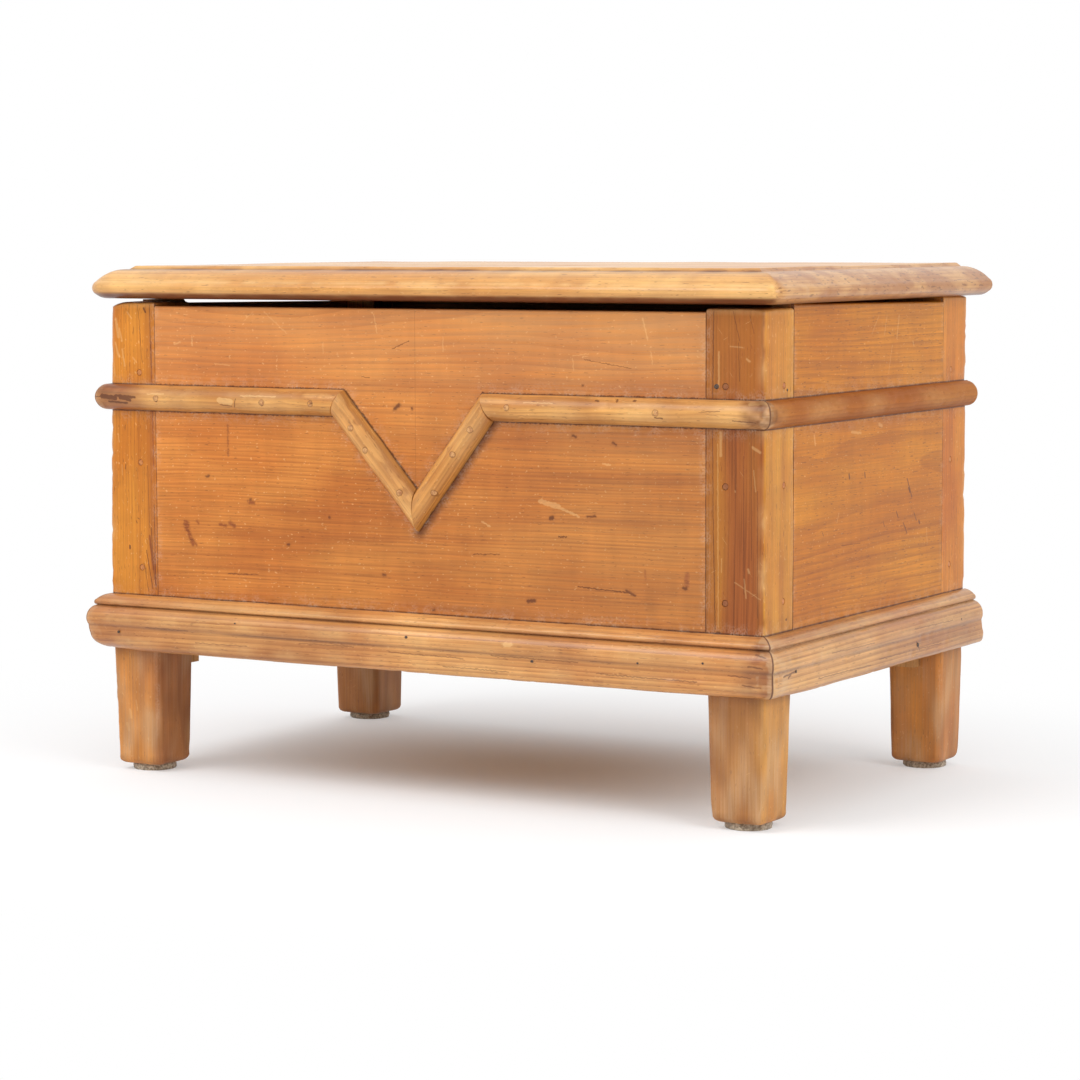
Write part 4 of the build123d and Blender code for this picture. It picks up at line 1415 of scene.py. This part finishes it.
def vee_corners(side):
    """Corners of an arm of the vee on the face: outer, tip, apex and upper, as (x, z)."""
    def arm(which):
        outer = np.array((which * vee_reach[which], bead_z - bead_radius))
        run = np.array((vee_tip_x - outer[0], -vee_drop))
        run /= np.linalg.norm(run)
        inward = np.array((which * run[1], -which * run[0])) * 2 * bead_radius
        return outer, run, outer + inward

    outer, run, inner = arm(side)
    other_outer, other_run, other_inner = arm(-side)
    tip = crossing(outer, run, other_outer, other_run)
    apex = crossing(inner, run, other_inner, other_run)
    upper = crossing(inner, run, (0, bead_z + bead_radius), (1, 0))
    return [tuple(float(v) for v in corner) for corner in (outer, tip, apex, upper)]


def finish_bead(node, points, side, seed):
    """A length of bead with its worn corner, and the tones of its crest, mitre and knot, with painted shade
    along its lower half, along the vee's edge away from the light, and over the whole of the side beads.
    """
    points = wear_corners(points, half_width + bead_radius, case_front - bead_radius, bead_worn)
    piece = grid_mesh("worn_" + node, points)
    spots = points_of(piece)
    x, y, z = spots.T
    out = np.maximum(case_front - y, np.abs(x) - half_width)
    corner = np.hypot(np.abs(x) - half_width, y - case_front)
    rough = hollow(spots, 9 * MM, seed + 3)
    front = y < case_front + 1 * MM
    near = bell(np.maximum(corner - 8 * MM, 0), 12 * MM) * np.where(front & (side > 0), 1.0, 0.35)
    # Painted shade: darker along the lower half, along the vee's edge away from the light, and darker and
    # redder over the side beads
    level = side * vee_bench(side).local(spots)[:, 2] if "vee" in node else z - bead_z
    shade_below = np.clip(-level / bead_radius, 0, 1)
    knot = bell(x + 338 * MM, 30 * MM) * (side < 0) * front
    crest = np.clip(out / bead_radius, 0, 1) ** 2 * np.where(front, 0.45, 0.3)
    give(piece, worn=crest * hollow(spots, 60 * MM, seed + 2),
         dirt=near * rough * 0.8 + bell(out, 1.5 * MM) * 0.5, dry=near * (1 - rough) * 0.5,
         tone=-0.6 * shade_below - 0.12 * hollow(spots, 50 * MM, seed + 4) - np.where(front, 0, 0.2),
         red=np.where(front, 0.3 * hollow(spots, 36 * MM, seed + 5) + knot * 0.9 + near * 0.4, 0.6))
    return piece


def mitred(lower, upper, foot):
    """An end cut across a bead, from a place along its lower edge to one along its upper edge."""
    return lambda out, up: lower + (upper - lower) * (up - foot) / (2 * bead_radius)


def make_bead_front(node, side, seed):
    """The front bead from its mitre with the vee to the corner of the case."""
    outer, _, _, upper = vee_corners(side)
    inner_end = mitred(outer[0], upper[0], bead_z - bead_radius)
    ends = (FRONT_ENDS[0], inner_end) if side < 0 else (inner_end, FRONT_ENDS[1])
    return finish_bead(node, bar(FRONT, bead_outline(bead_z), *ends, bead_depth(seed)), side, seed)


def make_bead_side(node, side, seed):
    """The bead along a side."""
    points = bar(FLANKS[side], bead_outline(bead_z), *SIDE_ENDS, bead_depth(seed))
    return finish_bead(node, points, side, seed)


def vee_bench(side):
    """The line of an arm of the vee: along it towards the tip, and up towards its inner edge."""
    outer, tip = (np.array(corner) for corner in vee_corners(side)[:2])
    along = (tip - outer) / np.linalg.norm(tip - outer)
    up = np.array((side * along[1], -side * along[0]))
    origin = outer + up * bead_radius
    return Bench((origin[0], case_front, origin[1]), (along[0], 0, along[1]), (0, -1, 0), (up[0], 0, up[1]))


def make_vee(node, side, seed):
    """An arm of the vee, cut to its mitres with the bead and with the other arm."""
    bench = vee_bench(side)
    outer, tip, apex, upper = (bench.local(np.array((x, case_front, z)))[0] for x, z in vee_corners(side))
    ends = (mitred(outer, upper, -bead_radius), mitred(tip, apex, -bead_radius))
    return finish_bead(node, bar(bench, bead_outline(0), *ends, bead_depth(seed)), side, seed)


# ---------------------------------------------------------------- lid

def lid_levels():
    """Rings of the lid from its underside: out from the field, height, and shift of the back edge."""
    chin = (lid_edge_width - lid_nose_bulge, lid_chin_height)
    brow = (lid_edge_width - lid_nose_bulge, lid_brow_height)
    step_foot = (lid_step_width, lid_thickness - lid_step_depth)
    edge = arc((lid_edge_width - lid_under_width, 0), chin, lid_under_bulge, 7)
    edge += arc(chin, brow, lid_nose_bulge, 14)
    edge += arc(brow, step_foot, lid_thumb_bulge, 16)
    edge += [step_foot, (lid_step_width * 0.66, lid_thickness - 2.2 * MM),
             (1.2 * MM, lid_thickness - 0.8 * MM), (0.5 * MM, lid_thickness - 0.25 * MM),
             (-0.6 * MM, lid_thickness)]
    rings = [(-90 * MM, 0, -120 * MM), (-20 * MM, 0, -30 * MM), (8 * MM, 0, -9 * MM)]
    for out, up in edge:
        over = max(0.0, up - (lid_thickness - lid_back_round))
        inset = lid_back_round - math.sqrt(max(0.0, lid_back_round ** 2 - over ** 2))
        rings.append((out, max(up, 0), -inset))
    rings += [(-8 * MM, lid_thickness, -6 * MM), (-30 * MM, lid_thickness, -30 * MM)]
    rings += [(-70 * MM, lid_thickness, -80 * MM), (-130 * MM, lid_thickness, -140 * MM)]
    return rings


def lid_loop(out, back, across=170, deep=110):
    """A loop round the lid at one height: left end, front, right end and back."""
    side_x = field_x + out
    front_y = field_y - out
    back_y = lid_high.y + back
    corners = [(-side_x, back_y), (-side_x, front_y), (side_x, front_y), (side_x, back_y)]
    loop = []
    for index, count in enumerate((deep, across, deep, across)):
        loop += straight(corners[index], corners[(index + 1) % 4], count)
    return loop


def make_lid(seed):
    """The lid with its thumb moulding on three sides, worn along its nose and at its front corners."""
    rings = [[(x, y, rim_z + up) for x, y in lid_loop(out, back)] for out, up, back in lid_levels()]
    points = wear_corners(np.array(rings), lid_high.x, lid_low.y, lid_worn)
    uneven = 0.6 * MM * hollow(points, 85 * MM, seed) + 0.6 * MM * bruises(points, 17 * MM, seed + 1)
    uneven += 0.5 * MM * bruises(points, 6 * MM, seed + 3, 1.1)
    height = points[..., 2] - rim_z
    edge = np.clip(height / (3 * MM), 0, 1) * ramp(height, lid_thickness, -1.5 * MM)
    beyond_x = np.abs(points[..., 0]) - field_x
    beyond_y = field_y - points[..., 1]
    shift = uneven * edge * (points[..., 1] < lid_high.y - 3 * MM)
    points[..., 0] -= np.sign(points[..., 0]) * shift * (beyond_x > beyond_y)
    points[..., 1] += shift * ((beyond_x <= beyond_y) & (beyond_y > 0))
    top = ramp(height, lid_thickness - 4 * MM, 4 * MM)
    points[..., 2] -= top * 0.5 * MM * hollow(points * (1, 1, 0), 120 * MM, seed + 2)
    piece = grid_mesh("worn_lid", points, 15)
    carve(piece, lid_cutters(), 15)
    tone_lid(piece, seed)
    return piece


def lid_cutters():
    """What is cut from the lid: room for the knuckles, and the screws' holes."""
    half = (pin_high.x - pin_low.x) / 2 + 0.5 * MM
    cutters = [rod(knuckle_relief, (x - half, pin_y, pin_z), (x + half, pin_y, pin_z))
               for x in (-hinge_x, hinge_x)]
    for x, y in screw_places():
        start, end = (x, y, rim_z - 2 * MM), (x, y, leaf_low.z + screw_length)
        cutters.append(rod(screw_shank_radius, start, end, 16))
    return cutters


def tone_lid(piece, seed):
    """Tan end grain on the ends, pale arrises, and painted shade on the underside, darker and redder."""
    points = points_of(piece)
    beyond_x = np.abs(points[:, 0]) - field_x
    beyond_y = field_y - points[:, 1]
    beyond = np.maximum(beyond_x, beyond_y)
    height = points[:, 2] - rim_z
    end = ramp(beyond_x - np.maximum(beyond_y, 0), -3 * MM, 6 * MM) * (beyond_x > 0)
    end *= np.clip(height / (4 * MM), 0, 1)
    arris = bell(height - lid_brow_height, 1.6 * MM) + bell(height - lid_chin_height, 1.4 * MM)
    step_edge = bell(height - lid_thickness + 0.6 * MM, 1.2 * MM)
    outer = beyond > -3 * MM
    worn = (arris * 0.8 + step_edge * 0.5) * hollow(points, 24 * MM, seed + 5) * outer
    root = bell(height - (lid_thickness - lid_step_depth), 1.1 * MM) * outer
    # Painted shade on the underside below the chin
    shade_below = ramp(height, 6.5 * MM, -2.5 * MM) * ramp(beyond, lid_edge_width - 20 * MM, 8 * MM)
    stain = 0.2 * np.clip(ripple(points, 34 * MM, seed + 7), 0, 1) * outer
    dirt = root * (0.4 + 0.5 * hollow(points, 40 * MM, seed + 6)) + shade_below * 0.8
    give(piece, end=end, worn=worn, dirt=dirt, red=np.maximum(shade_below, stain), tone=shade_below * -0.6)


# ---------------------------------------------------------------- screws, pads, nails and plugs

def screw_places():
    """Axes of the hinge screws, the same for both leaves."""
    return [(side * hinge_x + share * screw_spacing, screw_y) for side in (-1, 1) for share in (-0.5, 0.5)]


def make_screws(name, node, toward):
    """Slotted countersunk screws in one kind of leaf."""
    low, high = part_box(node)
    face = high.z if toward > 0 else low.z
    shank = screw_shank_radius * 0.97
    profile = [(0.2 * MM, -screw_length), (shank * 0.7, -screw_length + 1.5 * MM),
               (shank, -screw_length * 0.6), (shank, -leaf_thickness),
               (screw_head_radius * 0.97, -0.15 * MM), (screw_head_radius * 0.9, 0)]
    screws = []
    for index, (x, y) in enumerate(screw_places()):
        place = facing((x, y, face), (0, 0, toward)) @ Matrix.Rotation(0.7 + 1.1 * index, 4, "Z")
        screw = turned_piece("screw", profile, 28, place)
        slot = block((-slot_length / 2, -slot_width / 2, -slot_depth),
                     (slot_length / 2, slot_width / 2, 1 * MM))
        slot.data.transform(place)
        carve(screw, [slot])
        screws.append(screw)
    return merged(name, screws)


def make_pad(node, seed):
    """A felt disc, pressed a little out of round by the foot, with a furry edge."""
    low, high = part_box(node)
    centre = (low + high) / 2
    radius = (high.x - low.x) / 2
    height = high.z - low.z
    shape = ((0.4, 0), (0.8, 0), (0.955, 0), (0.985, 0.1), (0.998, 0.25), (1.0, 0.45), (0.99, 0.65),
             (0.97, 0.85), (0.94, 0.99), (0.8, 0.995), (0.4, 0.995))
    profile = [(radius * share, height * rise) for share, rise in shape]

    def squash(rings):
        lumps = 0.4 * MM * ripple(rings, 6 * MM, seed) + 0.2 * MM * ripple(rings, 2.5 * MM, seed + 1)
        edge = ramp(np.linalg.norm(rings[..., :2], axis=-1), radius * 0.9, radius * 0.1)
        size = 1 - (0.5 * MM + np.clip(lumps, -0.5 * MM, 0.5 * MM)) / radius * edge
        return resized(rings, size, size)

    place = Matrix.Translation((centre.x, centre.y, low.z))
    return turned_piece("soft_" + node, profile, 120, place, squash)


def make_disc(start, way, radius, lift, seed):
    """A nail's head or a plug's end, slightly domed and out of round, set into a surface."""
    profile = [(radius * 0.97, -1.2 * MM), (radius, lift * 0.4), (radius * 0.9, lift),
               (radius * 0.5, lift * 1.15)]

    def squash(rings):
        size = 1 + 0.06 * ripple(rings, radius * 2, seed)
        return resized(rings, size, size * 0.92)

    return turned_piece("disc", profile, 18, facing(start, way), squash)


def on_round(bench, along, up, middle):
    """A point on a bead and the way it faces, from its place along and up its face."""
    aside = up - middle
    out = math.sqrt(max(0.0, bead_radius ** 2 - aside ** 2))
    way = np.array((0, out, aside)) / bead_radius
    sink = 0.4 * MM
    return bench.world((along, out - sink * way[1], up - sink * way[2])), way @ bench.turn


def make_plugs():
    """Wooden plugs in the vee and the bead."""
    places = [(vee_bench(side), x, z, 0, 400) for side, plugs in VEE_PLUGS.items() for x, z in plugs]
    places += [(FRONT, x, z, bead_z, 500) for x, z in BEAD_PLUGS]
    discs = []
    for bench, x, z, middle, seed in places:
        along, _, up = bench.local(np.array((x * MM, case_front, z * MM)))
        start, way = on_round(bench, along, up, middle)
        discs.append(make_disc(start, way, plug_radius, plug_lift, int(x) + seed))
    return merged("bead_plugs", discs)


def make_nails():
    """Nail heads in the base moulding and the near post."""
    heads = []
    for bench, nails in ((FRONT, FRONT_NAILS), (RIGHT, SIDE_NAILS), (LEFT, SIDE_NAILS)):
        for along, height, radius in nails:
            out = base_surface(height * MM) - 0.2 * MM
            start = bench.world((along * MM, out, height * MM))
            heads.append(make_disc(start, bench.turn[1], radius * MM, 0.2 * MM, int(along) + 600))
    for bench, along, height, radius, lift, seed in POST_NAILS:
        start = bench.world((along * MM, -0.1 * MM, height * MM))
        heads.append(make_disc(start, bench.turn[1], radius * MM, lift * MM, seed))
    return merged("nail_heads", heads)


# ---------------------------------------------------------------- camera, light and floor

camera_place = Vector((1.6006, -2.7116, 0.5254))
camera_yaw = 30.503
camera_pitch = -5.47
camera_roll = -0.191
lens_length = 107.86  # millimetres, like the sensor
sensor_width = 36

# Soft square lamps aimed at the chest's middle, as (name, place, size, power)
chest_middle = Vector((0, 0, 0.25))
LAMPS = (("key", (-1.0, -2.1, 2.7), 1.8, 46), ("side", (2.4, -0.9, 1.6), 1.4, 26))

# The room's light, from the sides and more from above
world_level = 0.45
world_overhead = 0.5
white = (1.0, 1.0, 1.0, 1.0)

# The paper floor, which glows more and more for the camera with distance, a painted light that lightens the
# chest's shadow, until it fades into white; the distance counts for less across than deep
floor_half = 12
paper_colour = (0.95, 0.96, 0.975, 1.0)
paper_fade = 0.8
paper_squeeze = (0.8, 1, 0)


def add_camera():
    """The camera, whose place, turns and lens were solved from the photograph."""
    yaw, pitch, roll = (math.radians(a) for a in (camera_yaw, camera_pitch, camera_roll))
    forward = Vector((-math.sin(yaw) * math.cos(pitch), math.cos(yaw) * math.cos(pitch), math.sin(pitch)))
    level = Vector((math.cos(yaw), math.sin(yaw), 0))
    upright = level.cross(forward)
    right = level * math.cos(roll) + upright * math.sin(roll)
    up = right.cross(forward)
    lens = bpy.data.cameras.new("camera")
    lens.sensor_width = sensor_width
    lens.lens = lens_length
    camera = new_object("camera", lens)
    turn = Matrix((right, up, -forward)).transposed()
    camera.matrix_world = Matrix.Translation(camera_place) @ turn.to_4x4()
    bpy.context.scene.camera = camera


def add_lamp(name, place, size, power):
    """A soft square lamp."""
    light = bpy.data.lights.new(name, "AREA")
    light.size = size
    light.energy = power
    aim = (chest_middle - Vector(place)).to_track_quat("-Z", "Y")
    new_object(name, light).matrix_world = Matrix.Translation(place) @ aim.to_matrix().to_4x4()


def seen_directly(tree):
    """1 for rays from the camera, and for those that show the backdrop in gloss or glass."""
    path = tree.nodes.new("ShaderNodeLightPath")
    names = ("Is Camera Ray", "Is Glossy Ray", "Is Transmission Ray")
    return either(*(Value(tree, path.outputs[name]) for name in names))


def add_world():
    """White where the camera, gloss or glass sees it, and a soft light, stronger from above, elsewhere."""
    world = bpy.data.worlds.new("studio")
    world.use_nodes = True
    bpy.context.scene.world = world
    tree = world.node_tree
    tree.nodes.clear()
    direction = add_node(tree, "TexCoord", {}, "Generated")
    light = parts_of(direction)[2].math("MAXIMUM", 0.0) * world_overhead + world_level
    shades = [add_node(tree, "Background", {"Color": white, "Strength": item}) for item in (light, 1.0)]
    mixed = add_node(tree, "MixShader", enumerate((seen_directly(tree), *shades)))
    plug(tree, tree.nodes.new("ShaderNodeOutputWorld").inputs[0], mixed)


def add_floor():
    """A white sheet that keeps the chest's shadow, lightened by a painted glow, and fades into the white
    behind it.
    """
    corners = [(x * floor_half, y * floor_half, 0) for x, y in ((-1, -1), (1, -1), (1, 1), (-1, 1))]
    floor = new_piece("floor", corners, [(0, 1, 2, 3)])
    material, tree, shader = new_material("paper")
    shader.inputs["Base Color"].default_value = paper_colour
    shader.inputs["Roughness"].default_value = 0.9
    shader.inputs["Specular IOR Level"].default_value = 0.1
    distance = place_on(tree).vector("MULTIPLY", paper_squeeze).vector("LENGTH", output=1)
    # Painted light: a glow for the camera and for reflections, none at the chest's middle and full at the
    # fade's distance
    glow = add_node(tree, "Emission", {})
    share = step(distance, 0.0, paper_fade) * seen_directly(tree)
    mixed = add_node(tree, "MixShader", enumerate((share, Value(tree, shader.outputs[0]), glow)))
    plug(tree, tree.nodes["Material Output"].inputs[0], mixed)
    floor.data.materials.append(material)


# ---------------------------------------------------------------- assembly

def build_posts():
    """The posts, each on its felt pad, and their pegs."""
    plain = pine("post", details=on_post)
    left = pine("left_post", details=on_marked_post(LEFT_POST_DARK, LEFT_POST_PALE, LEFT_POST_RED))
    near = pine("near_post", details=on_marked_post(POST_DARK, POST_PALE, POST_RED))
    felt = grey_felt()
    for row_name, row in ROWS.items():
        for side_name, side in SIDES.items():
            corner = row_name + "_" + side_name
            piece = make_post("post_" + corner, side, row, 10 + 3 * side + row)
            middle_y = case_edge[row] - row * post_size / 2
            give_grain(piece, (0.01, 0, 1), (side * (half_width - 190 * MM), middle_y + 20 * MM, 0))
            material = {"front_right": near, "front_left": left}.get(corner, plain)
            dress(piece, CASE, material, "post_pine", "post_" + corner)
            pad = make_pad("felt_pad_" + corner, 40 + side + 2 * row)
            dress(pad, CASE, felt, "pad_felt", "felt_pad_" + corner)
    oak = oak_end("oak_peg", srgb(206, 132, 66), srgb(178, 106, 50))
    dress(make_pegs(), CASE, oak, "peg_oak", "joint_pegs")


def build_mouldings():
    """The base moulding's three lengths."""
    wood = pine("base", details=on_base)
    spans = (("front", FRONT, FRONT_ENDS), ("left", LEFT, SIDE_ENDS), ("right", RIGHT, SIDE_ENDS))
    for index, (name, bench, ends) in enumerate(spans):
        node = "base_moulding_" + name
        piece = make_base(node, bench, ends, 60 + index)
        pith = bench.world((0, -15 * MM, base_z + 120 * MM))
        give_grain(piece, bench.turn[0] + np.array((0, 0, 0.006)), pith)
        dress(piece, CASE, wood, "base_pine", node)


def build_beads():
    """The bead along the front and the sides, and the vee."""
    wood = pine("bead", details=on_bead)
    dull = pine("side_bead", details=on_moulding)
    makers = (("front", make_bead_front), ("side", make_bead_side), ("vee", make_vee))
    for name, side in SIDES.items():
        for index, (kind, make) in enumerate(makers):
            node = "bead_" + kind + "_" + name
            piece = make(node, side, 80 + side + 3 * index)
            bench = {"front": FRONT, "side": FLANKS[side], "vee": vee_bench(side)}[kind]
            height = 0 if kind == "vee" else bead_z
            give_grain(piece, bench.turn[0], bench.world((0, -40 * MM, height - 30 * MM)))
            dress(piece, CASE, dull if kind == "side" else wood, "bead_pine", node)


def build_lid():
    """The lid, whose grain runs from end to end."""
    piece = make_lid(90)
    give_grain(piece, (1, 0.004, 0), (0, -60 * MM, rim_z - 70 * MM))
    dress(piece, LID, lid_pine(), "lid_pine", "lid")


def build_panels():
    """The four panels, of which the left one has a shape of its own."""
    along_front = grain_along("x", (0, case_front + 110 * MM, 470 * MM), -0.012)
    along_side = grain_along("y", (half_width - 190 * MM, 0, 300 * MM), 0.01)
    along_back = grain_along("x", (0, case_back - 90 * MM, 260 * MM), 0.01)
    paint(pine("front", along_front, on_front_panel), "panel_front")
    sides = pine("side", along_side, on_side_panel)
    paint(sides, "panel_right")
    dress(make_left_panel(), CASE, sides, "side_pine", "panel_left")
    paint(pine("back", along_back, on_post), "panel_back")


def build_inside():
    """The floor on its ledgers, the divider, and the glue blocks behind the legs."""
    boards = pine("boards", grain_along("x", (0, 30 * MM, 90 * MM)))
    across = pine("inner_sides", grain_along("y", (60 * MM, 0, 200 * MM)))
    blocks = pine("blocks", grain_along("z", (0, 40 * MM, 0)))
    paint(boards, "floor_board_1", "floor_board_2", "floor_board_3", "ledger_front", "ledger_back")
    paint(across, "ledger_left", "ledger_right", "divider")
    paint(blocks, *("corner_block_" + row + "_" + side for row in ROWS for side in SIDES))


def build_hardware():
    """The hinges and their screws, the nails and the plugs."""
    iron = old_iron()
    leaves = ["hinge_" + side + "_" + part for side in SIDES for part in ("case_leaf", "lid_leaf", "pin")]
    paint(iron, *leaves, bevel=0.15 * MM)
    dress(make_screws("case_screws", "case_hinge_screws", 1), CASE, iron, "hinge_iron", "case_hinge_screws")
    dress(make_screws("lid_screws", "lid_hinge_screws", -1), LID, iron, "hinge_iron", "lid_hinge_screws")
    dress(make_nails(), CASE, dark_nail(), "hinge_iron")
    dress(make_plugs(), CASE, oak_end("plug_wood", srgb(214, 160, 100), srgb(170, 112, 64)), "bead_pine")


bpy.context.scene.view_settings.view_transform = "Standard"
add_camera()
add_world()
for lamp in LAMPS:
    add_lamp(*lamp)
add_floor()

build_panels()
build_posts()
build_mouldings()
build_beads()
build_lid()
build_inside()
build_hardware()
